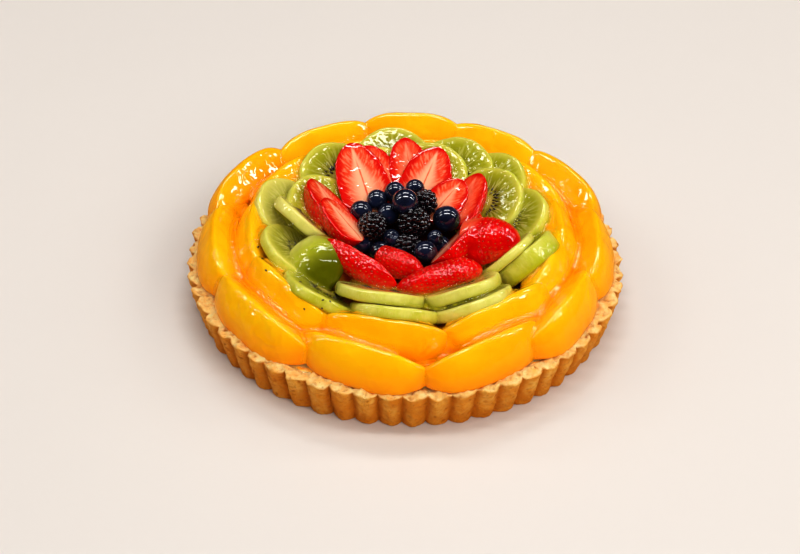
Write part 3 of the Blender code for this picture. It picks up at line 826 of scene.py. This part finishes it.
# Painted shade: the peeled edge grows darker green towards the underside of the slice.
peeled = covered(tree, peeled, (0.42, 0.43, 0.010), ramped(tree, own_z, 0.3, -1.0))
green = covered(tree, face, peeled, ramped(tree, reach, 0.955, 0.985))
green = covered(tree, green, (0.38, 0.39, 0.013), tint, 0.45)
green = covered(tree, green, (0.76, 0.67, 0.24), ramped(tree, tint, 0.0, -1.0, "LINEAR"))
painted(shader, green)
filmed(tree, place, shader, 230.0, 0.00045)

seeds = []
for number, (name, row) in enumerate(KIWIS.items()):
    azimuth, distance, height, radius, facing, tilt = row[:6]
    thickness = row[6] if len(row) > 6 else KIWI_THICKNESS
    shape = kiwi_shape(radius, thickness, number + 1)
    stand = tilted(azimuth, distance, height, facing, tilt)
    own = shape / (radius * 0.98, radius * 0.98, thickness / 2)
    tint = -CREAM_KIWIS.get(name, -((number * 0.382) % 1.0 * 0.5))
    add_piece(name + "_slice", "kiwi", name, laid(shape, stand), KIWI_AROUND, kiwi_finish,
              own=own, tint=tint)
    chance = np.random.default_rng(number + 100)
    for seed in range(SEEDS_PER_SLICE):
        way = 2 * math.pi * (seed + chance.uniform(-0.3, 0.3)) / SEEDS_PER_SLICE
        part = (0.29, 0.37)[seed % 2] + chance.uniform(-0.03, 0.04)
        spot = np.array([part * radius * math.cos(way), part * radius * math.sin(way), 0.0])
        face = shape[:KIWI_AROUND * len(KIWI_FACE)]
        nearest = np.argmin(np.linalg.norm(face[:, :2] - spot[:2], axis=1))
        spot[2] = face[nearest, 2] - SEED_SINK
        ray_way = np.array([math.cos(way), math.sin(way), chance.uniform(-0.05, 0.05)])
        seeds.append((laid(spot, stand), grain_turn(ray_way @ stand[1], stand[1][2]),
                      chance.uniform(0.8, 1.2)))


def scatter_tree():
    """Geometry Nodes: one grain on each point, turned and sized by the point's values."""
    tree = bpy.data.node_groups.new("grains_on_points", "GeometryNodeTree")
    for name, kind in (("Points", "NodeSocketGeometry"), ("Grain", "NodeSocketObject"),
                       ("Size", "NodeSocketFloat"), ("Spread", "NodeSocketFloat"),
                       ("Seed", "NodeSocketInt"), ("Finish", "NodeSocketMaterial")):
        tree.interface.new_socket(name, in_out="INPUT", socket_type=kind)
    tree.interface.new_socket("Grains", in_out="OUTPUT", socket_type="NodeSocketGeometry")
    source = add_node(tree, "NodeGroupInput").outputs
    grain = add_node(tree, "GeometryNodeObjectInfo", {"Object": source["Grain"]})
    turn, size = (add_node(tree, "GeometryNodeInputNamedAttribute", {"Name": name}, data_type=kind)
                  for name, kind in (("turn", "FLOAT_VECTOR"), ("size", "FLOAT")))
    turn = add_node(tree, "FunctionNodeEulerToRotation", {"Euler": turn.outputs["Attribute"]})
    least = maths(tree, "SUBTRACT", 1.0, source["Spread"])
    most = maths(tree, "ADD", 1.0, source["Spread"])
    chance = add_node(tree, "FunctionNodeRandomValue", data_type="FLOAT")
    tree.links.new(least, chance.inputs[2])
    tree.links.new(most, chance.inputs[3])
    tree.links.new(source["Seed"], chance.inputs["Seed"])
    scale = maths(tree, "MULTIPLY", size.outputs["Attribute"], chance.outputs[1])
    scale = maths(tree, "MULTIPLY", scale, source["Size"])
    placed = add_node(tree, "GeometryNodeInstanceOnPoints", {
        "Points": source["Points"], "Instance": grain.outputs["Geometry"],
        "Rotation": turn.outputs["Rotation"], "Scale": scale})
    real = add_node(tree, "GeometryNodeRealizeInstances", {
        "Geometry": placed.outputs["Instances"]})
    smooth = add_node(tree, "GeometryNodeSetShadeSmooth", {"Geometry": real.outputs["Geometry"]})
    dressed = add_node(tree, "GeometryNodeSetMaterial", {
        "Geometry": smooth.outputs["Geometry"], "Material": source["Finish"]})
    add_node(tree, "NodeGroupOutput", {"Grains": dressed.outputs["Geometry"]})
    return tree


SCATTER = scatter_tree()


def scattered(name, rows, grain, finish, spread=0.0, seed=1):
    """Mesh of grains from the scatter tree; a row holds a grain's place, turn and size."""
    places, turns, sizes = (np.array(column) for column in zip(*rows))
    made = add_object(name, places, [], finish, turn=turns, size=sizes)
    modifier = made.modifiers.new("grains", "NODES")
    modifier.node_group = SCATTER
    given = {"Grain": grain, "Size": 1.0, "Spread": spread, "Seed": seed, "Finish": finish}
    for item in SCATTER.interface.items_tree:
        if item.name in given and item.in_out == "INPUT":
            modifier[item.identifier] = given[item.name]
    depsgraph = bpy.context.evaluated_depsgraph_get()
    made.data = bpy.data.meshes.new_from_object(made.evaluated_get(depsgraph))
    made.modifiers.clear()
    bpy.data.objects.remove(grain, do_unlink=True)
    return made


def grain_object(name, half_sizes, rows, around, finish, blunt=0.0):
    """Small closed egg with few faces; blunt thins one end."""
    fall, turn = ball_grid(rows - 1, around)
    thin = np.sin(fall) * (1.0 - blunt * np.cos(fall))
    egg = np.stack([np.cos(fall), thin * np.cos(turn), thin * np.sin(turn)], 1)
    points = np.vstack([[1, 0, 0], egg, [-1, 0, 0]]) * half_sizes * MM
    return add_object(name, points, skin_faces(rows - 1, around), finish)


kiwi_seed_finish, tree, shader, place = new_finish("kiwi_seed", {
    "Roughness": 0.3, "Coat Weight": 1.0, "Coat Roughness": 0.05})
dark = mottled(tree, place, 900.0, (0.010, 0.006, 0.004), (0.035, 0.018, 0.010), 2.0, 3.0)
painted(shader, dark)
seed_grain = grain_object("seed_grain", (1.30, 0.58, 0.46), 6, 8, kiwi_seed_finish, 0.35)
kiwi_seeds = scattered("kiwi_seeds", seeds, seed_grain, kiwi_seed_finish, spread=0.05, seed=3)
stands_for(kiwi_seeds)

azimuth, distance, height, radius, facing, tilt = KIWI_END
angle = -2 * math.pi * np.arange(KIWI_AROUND) / KIWI_AROUND
outline = peeled_radius(angle, np.random.default_rng(77)) * radius
rows = [(part, KIWI_END_DEPTH * math.sqrt(1 - (0.97 * part) ** 2))
        for part in np.linspace(0.06, 1.0, 22)]
rows.extend(((0.99, 1.4), (0.97, 0.5), (0.93, 0.0), (0.6, 0.0), (0.3, 0.0)))
rings = [level_ring(outline * part, angle, level) for part, level in rows]
shape = np.vstack([[0, 0, KIWI_END_DEPTH], *rings, [0, 0, 0]])
shape += (shape / radius) * (noise_at(shape, 9.0) * 0.5)[:, None]
dome_finish, tree, shader, place = new_finish("kiwi_outer_flesh", WET,
                                              (0.2, (0.6, 1.0, 0.1), 0.005))
own, own_x, own_y, own_z = stored_place(tree)
green = mottled(tree, place, 70.0, (0.34, 0.37, 0.008), (0.56, 0.54, 0.07), 3.0, 2.5)
# Painted light and shade: the dome is paler towards its upper left and darker towards its base and
# lower right.
green = covered(tree, green, (0.66, 0.62, 0.17), ramped(tree, own_y, 0.0, -0.75))
dome_shade = maths(tree, "MAXIMUM", ramped(tree, own_z, 0.85, 0.25), ramped(tree, own_y, -0.20, 0.65))
green = covered(tree, green, (0.12, 0.125, 0.001), dome_shade)
painted(shader, green)
filmed(tree, place, shader, 140.0, 0.0011)
stand = tilted(azimuth, distance, height, facing, tilt)
add_piece("kiwi_end_dome", "kiwi", "kiwi_end", laid(shape, stand), KIWI_AROUND, dome_finish,
          own=shape / (radius, radius, KIWI_END_DEPTH))

# ---- Strawberry halves ----
# Ripe strawberries cut lengthwise: a pale veined face with a red rim, and a round
# red skin pitted by golden seeds. They stand round the middle like petals.
BERRY_SHOULDER = 0.22
BERRY_TAPER = 2.7           # higher keeps the berry wide further towards its tip
BERRY_BLUNTNESS = 0.53      # lower makes the tip rounder
BERRY_SWELL = 0.6
BERRY_STATIONS = 96
FACE_POINTS = 30
SKIN_POINTS = 66
BERRY_EDGE = 0.7            # rounding between face and skin
SEED_SPACING = 3.1
SEED_RISE = 0.16            # how far a seed stands out of its pit
PIT_DEPTH = 0.5
PIT_WIDTH = 0.95
FACE_BULGE = 0.05
SLICED_BERRY = "strawberry_08"
SLICED_BACK = 0.38          # that piece has its back sliced too, this far along
SLICE_FADE = 0.22           # and this much further the red skin closes again
SLICE_SLANT = 0.16          # and the cut runs this far askew
# Calyx end, tip, width, thickness, the way the cut face looks and how pale its heart is.
STRAWBERRIES = {
    "strawberry_01": ((-17.7, 17, 41), (-32.7, 61, 58), 30, 12, (0.1, -0.6, 0.8), 1.0),
    "strawberry_02": ((-8.3, 33.5, 41), (-24.2, 61.5, 56), 24, 11, (0.2, -0.6, 0.8), 0.6),
    "strawberry_03": ((3.5, 36, 42), (-2, 67.5, 58), 23, 11, (0.1, -0.7, 0.8), 0.5),
    "strawberry_04": ((3, 21, 41), (17.5, 60, 57), 29, 12, (-0.1, -0.6, 0.8), 1.0),
    "strawberry_05": ((12, 12, 42), (30.5, 34, 54), 24, 11, (-0.3, -0.5, 0.8), 0.8),
    "strawberry_06": ((24, 9, 40), (39.5, 42, 53), 24, 11, (-0.5, -0.4, 0.7), 0.35),
    "strawberry_07": ((14, -30, 44.5), (39, -1, 57), 23.5, 14, (-0.6, 0.43, 0.69), 0.9),
    "strawberry_08": ((30.5, -10.5, 39.5), (61, -22.5, 54.5), 30, 17, (0.53, 0.05, -0.85), 0.15),
    "strawberry_09": ((41, -34.5, 45.3), (-5, -46, 38), 18, 14, (0.1, 0.8, -0.56), 0.5),
    "strawberry_10": ((-15, -16.6, 35), (9.5, -38.5, 44), 17, 12, (0, 0.47, -0.88), 0.0),
    "strawberry_11": ((-4.5, -46.5, 42), (-43.5, -19.5, 50.5), 19, 10, (0.5, 0.85, 0.17), 0.5),
    "strawberry_12": ((-24, -8.5, 42), (-45, 12, 55.5), 23, 12.5, (0.45, 0.1, 0.89), 0.95),
    "strawberry_13": ((-32.5, 1.5, 46.5), (-52.5, 32.5, 53), 24, 16, (0.69, -0.24, 0.68), 0.9),
}


def berry_size(along):
    """Width of a strawberry at a place along it, as a part of its full width."""
    shoulder = np.sqrt(np.minimum(1.0, along / BERRY_SHOULDER))
    taper = 1.0 - np.maximum(0.0, (along - 0.25) / 0.75) ** BERRY_TAPER
    return shoulder * np.maximum(taper, 0.0) ** BERRY_BLUNTNESS


def half_berry(length, width, thickness, seed, sliced):
    """Points, values and seed places of one strawberry half in its own frame.

    The skin is sliced off its back as far along as sliced says.
    """
    rings = []
    values = []
    across = np.linspace(1, -1, FACE_POINTS, endpoint=False)
    under = math.pi * (1 + np.linspace(0, 1, SKIN_POINTS, endpoint=False))
    for along in 0.5 - 0.5 * np.cos(np.linspace(0, math.pi, BERRY_STATIONS + 2))[1:-1]:
        half = 0.5 * width * berry_size(along)
        depth = thickness * berry_size(along)
        face = np.stack([half * across, FACE_BULGE * half * (1 - across ** 2)], 1)
        skin = np.stack([half * np.cos(under), depth * np.sin(under)], 1)
        outline = softened(np.vstack([face, skin]), min(BERRY_EDGE, 0.12 * half))
        rings.append(np.column_stack([np.full(len(outline), along * length), outline]))
        slant = SLICE_SLANT * np.cos(under)
        bare = np.clip((sliced + SLICE_FADE - slant - along) / SLICE_FADE, 0, 1) * (sliced > 0)
        back = np.cos(under) * 0.85 * bare + np.sign(np.cos(under)) * 1.02 * (1 - bare)
        flesh = np.concatenate([np.ones(FACE_POINTS), bare])
        sideways = np.concatenate([across, back])
        values.append(np.stack([np.full(len(flesh), along), sideways, flesh], 1))
    shape = np.vstack([[0, 0, 0], *rings, [length, 0, 0]])
    values = np.vstack([[0, 0, 1], *values, [1, 0, 0]])
    core = shape * (1, 0, 0) + (0, 0, -0.3 * thickness)
    way = shape - core
    way /= np.maximum(np.linalg.norm(way, axis=1), 1e-6)[:, None]
    shape += way * (noise_at(shape + seed * 31.0, 10.0) * BERRY_SWELL)[:, None]
    seeds = []
    first = sliced + 0.7 * SLICE_FADE if sliced else 0.09
    for row, along in enumerate(np.arange(first, 0.975, SEED_SPACING * 0.9 / length)):
        half = 0.5 * width * berry_size(along)
        depth = thickness * berry_size(along)
        count = max(2, round(math.pi * math.hypot(half, depth) / 1.414 / SEED_SPACING))
        for k in range(count):
            turn = math.pi * (1 + (k + 0.25 + 0.5 * (row % 2)) / count)
            seeds.append((along * length, half * math.cos(turn), depth * math.sin(turn)))
    tree = kdtree.KDTree(len(seeds))
    for k, seed_place in enumerate(seeds):
        tree.insert(seed_place, k)
    tree.balance()
    skin_part = values[:, 2] < 0.5
    for k in np.nonzero(skin_part)[0]:
        _, _, gap = tree.find(shape[k])
        shape[k] -= way[k] * PIT_DEPTH * math.exp(-(gap / PIT_WIDTH) ** 2)
    places = []
    for seed_place in seeds:
        nearest = np.argmin(np.sum((shape - seed_place) ** 2, axis=1))
        places.append((shape[nearest] + way[nearest] * SEED_RISE, way[nearest]))
    return shape, values, places


berry_finish, tree, shader, place = new_finish("strawberry_flesh", {
    **WET, "Coat IOR": 1.75, "Coat Roughness": 0.02}, (0.25, (1.0, 0.2, 0.1), 0.003))
own, own_x, own_y, own_z = stored_place(tree)
tint = stored(tree, "tint")
side = maths(tree, "ABSOLUTE", own_y)
slant = maths(tree, "MULTIPLY_ADD", side, -0.30, own_x)
leaning = add_node(tree, "ShaderNodeCombineXYZ", {"X": slant, "Y": own_y, "Z": tint}).outputs[0]
veins = clouds(tree, vector_maths(tree, "MULTIPLY", leaning, (11.0, 1.6, 40.0)), 2.4, 3.0)
veins = ramped(tree, veins, 0.45, 0.63)
heart_width = maths(tree, "MULTIPLY_ADD", ramped(tree, own_x, 1.02, 0.25), 0.62, 0.06)
heart = ramped(tree, maths(tree, "DIVIDE", side, heart_width), 1.15, 0.15)
flesh = mottled(tree, place, 160.0, (0.80, 0.045, 0.010), (0.85, 0.100, 0.035), 2.0, 2.0)
flesh = covered(tree, flesh, (0.80, 0.030, 0.008), ramped(tree, tint, 0.45, 0.05))
flesh = covered(tree, flesh, (0.90, 0.34, 0.19), veins, maths(tree, "MULTIPLY", tint, 0.55))
flesh = covered(tree, flesh, (0.92, 0.44, 0.26), heart, tint)
slit = maths(tree, "MULTIPLY_ADD", clouds(tree, own, 5.0, 2.0), 0.10, side)
slit = ramped(tree, slit, 0.105, 0.055)
flesh = covered(tree, flesh, (0.80, 0.12, 0.045), slit, ramped(tree, own_x, 0.85, 0.55))
rim = ramped(tree, maths(tree, "MULTIPLY_ADD", veins, -0.10, side), 0.50, 0.80)
rim = maths(tree, "MAXIMUM", rim, ramped(tree, own_x, 0.86, 0.97))
flesh = covered(tree, flesh, (0.66, 0.006, 0.001), rim)
skin = mottled(tree, place, 90.0, (0.52, 0.002, 0.001), (0.82, 0.005, 0.002), 3.0, 2.0)
flesh = covered(tree, flesh, skin, ramped(tree, own_z, 0.9, 0.4))
painted(shader, flesh)
filmed(tree, place, shader, 250.0, ramped(tree, own_z, 0.0, 1.0, "LINEAR", 0.0007, 0.0003))

seeds = []
chance = np.random.default_rng(31)
for number, (name, row) in enumerate(STRAWBERRIES.items(), 1):
    calyx, tip, width, thickness, face, pale = row
    length = math.dist(calyx, tip)
    sliced = SLICED_BACK if name == SLICED_BERRY else 0.0
    shape, own, places = half_berry(length, width, thickness, number, sliced)
    stand = turned(calyx, np.subtract(tip, calyx), np.array(face, float))
    add_piece(name + "_half", "strawberry", name, laid(shape, stand), FACE_POINTS + SKIN_POINTS,
              berry_finish, own=own, tint=pale)
    for spot, way in places:
        seeds.append((laid(spot, stand), grain_turn(stand[1][0], way @ stand[1]),
                      chance.uniform(0.8, 1.15)))

seed_finish, tree, shader, place = new_finish("strawberry_seed", {
    "Roughness": 0.4, "Coat Weight": 1.0, "Coat Roughness": 0.06})
gold = mottled(tree, place, 260.0, (0.26, 0.02, 0.003), (0.66, 0.18, 0.025), 2.0, 3.0)
painted(shader, gold)
seed_grain = grain_object("strawberry_seed_grain", (0.58, 0.31, 0.24), 5, 6, seed_finish, 0.25)
berry_seeds = scattered("strawberry_seeds", seeds, seed_grain, seed_finish, spread=0.1, seed=5)
stands_for(berry_seeds)

# ---- Blueberries ----
# Round dark blueberries with their bloom washed off by the glaze. Each has a shallow
# five-pointed crown, turned its own way.
BLUEBERRY_FLATNESS = 0.94
BLUEBERRY_ROWS = 34
BLUEBERRY_AROUND = 45
BLUEBERRY_CROWDING = 1.15   # the rows lie closer at the crown
CROWN_RIDGE = 0.07          # height of the crown's points, in half widths
CROWN_HOLLOW = 0.16
# Middle, diameter and the way the crown looks.
BLUEBERRIES = {
    "blueberry_01": ((-6.7, 27.5, 49), 12.2, (0.6, 0.7, -0.3)),
    "blueberry_02": ((4.3, 32.5, 48), 11, (-0.3, 0.9, -0.2)),
    "blueberry_03": ((-16.5, 24, 46), 11.8, (-0.5, 0.6, -0.5)),
    "blueberry_04": ((-25, 15.5, 44), 12.8, (-0.7, 0.3, -0.6)),
    "blueberry_05": ((-1, 10.5, 55), 14.6, (0.3, 0.6, -0.7)),
    "blueberry_06": ((-10.2, 13.9, 44), 12, (0.1, 0.8, -0.5)),
    "blueberry_07": ((22, 9.5, 45), 15.3, (0.2, -0.55, -0.8)),
    "blueberry_08": ((10.6, -17, 42), 13, (0.1, -0.3, -0.9)),
    "blueberry_09": ((15.7, -4.3, 42), 9.2, (0.6, -0.5, 0.2)),
    "blueberry_10": ((-7.9, -2.5, 40), 10, (0.25, -0.55, 0.8)),
    "blueberry_11": ((-14, -8, 34), 13, (0.5, 0.4, -0.8)),
    "blueberry_12": ((-3, -13, 34), 13, (-0.2, 0.7, -0.7)),
    "blueberry_13": ((9, -9, 33), 13, (0.6, 0.1, -0.8)),
    "blueberry_14": ((19, -3, 35), 13, (-0.6, 0.2, -0.7)),
    "blueberry_15": ((-24, -2, 36), 13, (-0.3, 0.3, -0.9)),
}
blueberry_finish, tree, shader, place = new_finish("blueberry_skin", {
    "Roughness": 0.42, "Specular IOR Level": 0.15, "Coat Weight": 1.0, "Coat Roughness": 0.03,
    "Coat IOR": 1.9})
own, own_x, own_y, own_z = stored_place(tree)
blue = mottled(tree, place, 120.0, (0.008, 0.009, 0.020), (0.020, 0.028, 0.065), 3.0, 2.5)
blue = covered(tree, blue, (0.045, 0.06, 0.09), ramped(tree, own_z, 0.80, 0.93), 0.6)
painted(shader, blue)
filmed(tree, place, shader, 130.0, 0.0001)

fall, angle = ball_grid(BLUEBERRY_ROWS, BLUEBERRY_AROUND, BLUEBERRY_CROWDING)
lobes = 0.6 + 0.4 * np.cos(5 * angle)
reach = 1 + CROWN_RIDGE * np.exp(-((fall - 0.40) / 0.085) ** 2) * lobes
reach -= CROWN_HOLLOW * np.exp(-(fall / 0.30) ** 4)
ball = np.stack([reach * np.sin(fall) * np.cos(angle), reach * np.sin(fall) * np.sin(angle),
                 reach * np.cos(fall) * BLUEBERRY_FLATNESS], 1)
ball = np.vstack([[0, 0, (1 - CROWN_HOLLOW) * BLUEBERRY_FLATNESS], ball,
                  [0, 0, -BLUEBERRY_FLATNESS]])
for number, (name, (middle, diameter, crown)) in enumerate(BLUEBERRIES.items()):
    shape = ball * diameter / 2
    shape *= (1 + 0.02 * noise_at(shape + number * 23.0, 7.0))[:, None]
    stand = turned(middle, np.cross(crown, (0.31, 0.2, 0.93)), np.array(crown, float))
    add_piece(name + "_whole", "blueberry", name, laid(shape, stand), BLUEBERRY_AROUND,
              blueberry_finish, own=ball)

# ---- Brambles ----
# Ripe brambles: a soft core covered with tight round drupelets, nearly black, each
# of which shines on its own.
DRUPELET = 1.75             # half width of one drupelet
DRUPELET_SINK = 0.62        # how much of that lies inside the berry's outline
DRUPELET_ROOM = 2.45        # room that each takes up, in squared half widths
CORE = 0.93                 # size of the soft core inside the layer of drupelets
# Middle, length, width and the way the tip looks.
BRAMBLES = {
    "bramble_01": ((-18.7, 3, 43), 20, 16, (0.15, -0.6, 0.8)),
    "bramble_02": ((4, 4, 46), 17, 17, (0.1, -0.4, 0.9)),
    "bramble_03": ((9.4, 18.6, 48), 17, 14, (0.3, -0.2, 0.9)),
    "bramble_04": ((1, -6, 36), 17, 16, (0.2, -0.3, 0.9)),
}
bramble_finish, tree, shader, place = new_finish("bramble_skin", {
    "Roughness": 0.35, "Specular IOR Level": 0.2, "Coat Weight": 1.0, "Coat Roughness": 0.02,
    "Coat IOR": 2.0})
dark = mottled(tree, place, 170.0, (0.004, 0.003, 0.004), (0.014, 0.008, 0.012), 3.0, 3.0)
painted(shader, dark)
filmed(tree, place, shader, 800.0, 0.0001)
for number, (name, (middle, length, width, tip_way)) in enumerate(BRAMBLES.items()):
    chance = np.random.default_rng(number + 60)
    stand = turned(middle, np.cross(tip_way, (0.9, 0.3, 0.1)), np.array(tip_way, float))
    half = np.array([width / 2, width / 2, length / 2]) - DRUPELET * DRUPELET_SINK
    count = round(4 * math.pi * np.mean(half) ** 2 / (DRUPELET_ROOM * DRUPELET ** 2))
    step = np.arange(count)
    level = 1 - 2 * (step + 0.5) / count
    turn = step * math.pi * (3 - math.sqrt(5))
    flat = np.sqrt(1 - level ** 2)
    spots = np.stack([flat * np.cos(turn), flat * np.sin(turn), level], 1) * half
    spots += chance.normal(0, 0.22, spots.shape)
    turns = [grain_turn(spot, (0.3, 0.5, 0.8)) for spot in spots @ stand[1]]
    sizes = chance.uniform(0.88, 1.12, count)
    drupelet = grain_object(name + "_drupelet", (DRUPELET,) * 3, 6, 9, bramble_finish)
    cover = scattered(name + "_drupelets", zip(laid(spots, stand), turns, sizes), drupelet,
                      bramble_finish, seed=number)
    stands_for(cover, name)
    core = grain_object(name + "_core", half * CORE, 12, 20, bramble_finish)
    core.data.transform(Matrix.Translation(Vector(middle) * MM)
                        @ Matrix(np.roll(stand[1].T, 0, 1).tolist()).to_4x4())
    stands_for(core)

# ---- Glaze pools ----
# Clear fruit glaze brushed over the whole top. It pools where pieces meet, rounds
# the notches between them and takes the colour of the fruit that it lies on.
POOL_GRID = 1.1             # size of the cells that join the fruit into one skin
POOL_ROUNDS = 80            # rounds of tightening: more of them fill wider notches
POOL_SINK = 0.1             # keeps the glaze under the surface where nothing is filled
POOL_LOWEST = 20.0
POOL_STEEPEST = -0.05       # no glaze hangs where the skin leans out further than this
JUICE_REACH = 92.0          # inside this radius the custard has the colour of peach juice
# Pieces that are glazed, by the end of their name, and the kind of fruit in their name.
GLAZED_ENDS = ("_slice", "_dome", "_half", "_filling")
GLAZED_KINDS = {"peach": "peach", "kiwi_": "kiwi", "_half": "strawberry", "custard": "custard"}
# Colour of the glaze over each kind of fruit, and how fully it fills the notches there.
POOL_COLOURS = {
    "peach": (0.96, 0.38, 0.001), "kiwi": (0.44, 0.41, 0.03), "strawberry": (0.55, 0.022, 0.006),
    "custard": (0.97, 0.70, 0.22),
}
POOL_FILL = {"peach": 1.0, "kiwi": 0.45, "strawberry": 0.3, "custard": 0.7}
# Where single kiwi seeds are stuck in the glaze, and how deep.
LOOSE_SEEDS = ((-52.6, -70.5), (-42.7, -69.3), (-43.2, -71.2), (-39, -69.2), (-13.8, -75.7),
               (-55.3, -56.2), (-76.8, -31.9), (-79.5, -21.4), (-73.9, -44), (-45.6, -63.5))
LOOSE_SEED_SINK = 0.1
ABOVE_ALL = 200.0           # height over everything, from which they fall


def mesh_arrays(mesh):
    """Points and edges of a mesh, as arrays."""
    points = np.empty(len(mesh.vertices) * 3)
    mesh.vertices.foreach_get("co", points)
    edges = np.empty(len(mesh.edges) * 2, int)
    mesh.edges.foreach_get("vertices", edges)
    return points.reshape(-1, 3), edges.reshape(-1, 2)


def relaxed(values, edges, rounds):
    """Values at the points of a mesh, evened out along its edges."""
    links = np.concatenate([edges, edges[:, ::-1]])
    total = np.bincount(links[:, 0], minlength=len(values)).clip(1)
    for _ in range(rounds):
        mean = np.stack([np.bincount(links[:, 0], values[links[:, 1], k], len(values)) / total
                         for k in range(values.shape[1])], 1)
        values = values + 0.5 * (mean - values)
    return values


joined_points = []
joined_faces = []
touching = []
count = 0
for piece in bpy.context.scene.objects:
    if not piece.name.endswith(GLAZED_ENDS):
        continue
    kind = next(kind for word, kind in GLAZED_KINDS.items() if word in piece.name)
    points, _ = mesh_arrays(piece.data)
    joined_points.append(points)
    joined_faces.extend([count + i for i in face.vertices] for face in piece.data.polygons)
    touching.extend((point, kind) for point in points[::3] if point[2] > POOL_LOWEST * MM)
    count += len(points)
joined = add_object("joined_fruit", np.vstack(joined_points), joined_faces, None)
remesh = joined.modifiers.new("one_skin", "REMESH")
remesh.mode = "VOXEL"
remesh.voxel_size = POOL_GRID * MM
skin = bpy.data.meshes.new_from_object(joined.evaluated_get(bpy.context.evaluated_depsgraph_get()))
bpy.data.objects.remove(joined, do_unlink=True)

points, edges = mesh_arrays(skin)
faces = np.array([face.vertices for face in skin.polygons if len(face.vertices) == 4])
normals = np.empty(len(points) * 3)
skin.vertex_normals.foreach_get("vector", normals)
normals = relaxed(normals.reshape(-1, 3), edges, 3)
normals /= np.maximum(np.linalg.norm(normals, axis=1), 1e-9)[:, None]
nearby = kdtree.KDTree(len(touching))
for k, (point, _) in enumerate(touching):
    nearby.insert(point, k)
nearby.balance()


def kind_at(point):
    """Kind of fruit whose colour the glaze takes at a point of the skin."""
    kind = "custard" if point[2] < POOL_LOWEST * MM else touching[nearby.find(point)[1]][1]
    juicy = kind == "custard" and math.hypot(point[0], point[1]) < JUICE_REACH * MM
    return "peach" if juicy else kind


kinds = [kind_at(point) for point in points]
start = relaxed(points, edges, 2)
filled = start
for _ in range(POOL_ROUNDS):
    filled = relaxed(filled, edges, 1)
    inside = np.einsum("ij,ij->i", filled - start, normals) < 0
    filled = np.where(inside[:, None], start, filled)
fill = relaxed(np.array([[POOL_FILL[kind]] for kind in kinds]), edges, 4)
filled = start + (filled - start) * fill
depth = np.linalg.norm(filled - start, axis=1) / MM - POOL_SINK
filled -= normals * POOL_SINK * MM
kept = (depth[faces].max(1) > 0.0) & (filled[faces][:, :, 2].max(1) > POOL_LOWEST * MM)
kept &= normals[faces][:, :, 2].mean(1) > POOL_STEEPEST
faces = faces[kept]
used, renamed = np.unique(faces, return_inverse=True)
faces = renamed.reshape(-1, 4)
points = filled[used]
depth = depth[used]
colours = np.array([POOL_COLOURS[kinds[k]] for k in used])
sides = np.stack([faces, np.roll(faces, -1, axis=1)], 2).reshape(-1, 2)
colours = relaxed(colours, np.unique(np.sort(sides, axis=1), axis=0), 6)

pool_finish, tree, shader, place = new_finish("pooled_glaze", {
    "Roughness": 0.4, "Specular IOR Level": 0.1, "Coat Weight": 1.0, "Coat Roughness": 0.015,
    "Coat IOR": 1.7})
own = stored(tree, "own", "Color")
thick = stored(tree, "depth")
deeper = blended(tree, 0.55, own, (0.80, 0.08, 0.002))
tinged = covered(tree, own, deeper, ramped(tree, thick, 0.6, 2.5), 0.85)
painted(shader, tinged)
strength = maths(tree, "MULTIPLY", ramped(tree, thick, 0.1, 1.2), 0.92)
tree.links.new(strength, shader.inputs["Alpha"])
filmed(tree, place, shader, 230.0, 0.0008)
pools = add_object("glaze_pools", points, faces.tolist(), pool_finish, own=colours, depth=depth)
stands_for(pools)
pools.visible_shadow = False
pools.visible_diffuse = False

# A few kiwi seeds washed off their slices and stuck in the glaze.
glazed_top = bvhtree.BVHTree.FromPolygons(
    np.vstack(joined_points + [points]).tolist(),
    [list(face) for face in joined_faces] + (faces + count).tolist())
seeds = []
chance = np.random.default_rng(12)
for x, y in LOOSE_SEEDS:
    start = Vector((x, y, ABOVE_ALL)) * MM
    landing, normal, _, _ = glazed_top.ray_cast(start, Vector((0, 0, -1)))
    way = np.array([chance.uniform(-1, 1), chance.uniform(-1, 1), 0.05])
    spot = np.array(landing) - np.array(normal) * LOOSE_SEED_SINK * MM
    seeds.append((spot, grain_turn(way, normal), chance.uniform(0.85, 1.1)))
seed_grain = grain_object("stuck_seed_grain", (1.00, 0.50, 0.40), 6, 8, kiwi_seed_finish, 0.35)
stuck_seeds = scattered("stuck_kiwi_seeds", seeds, seed_grain, kiwi_seed_finish, seed=8)
stands_for(stuck_seeds)
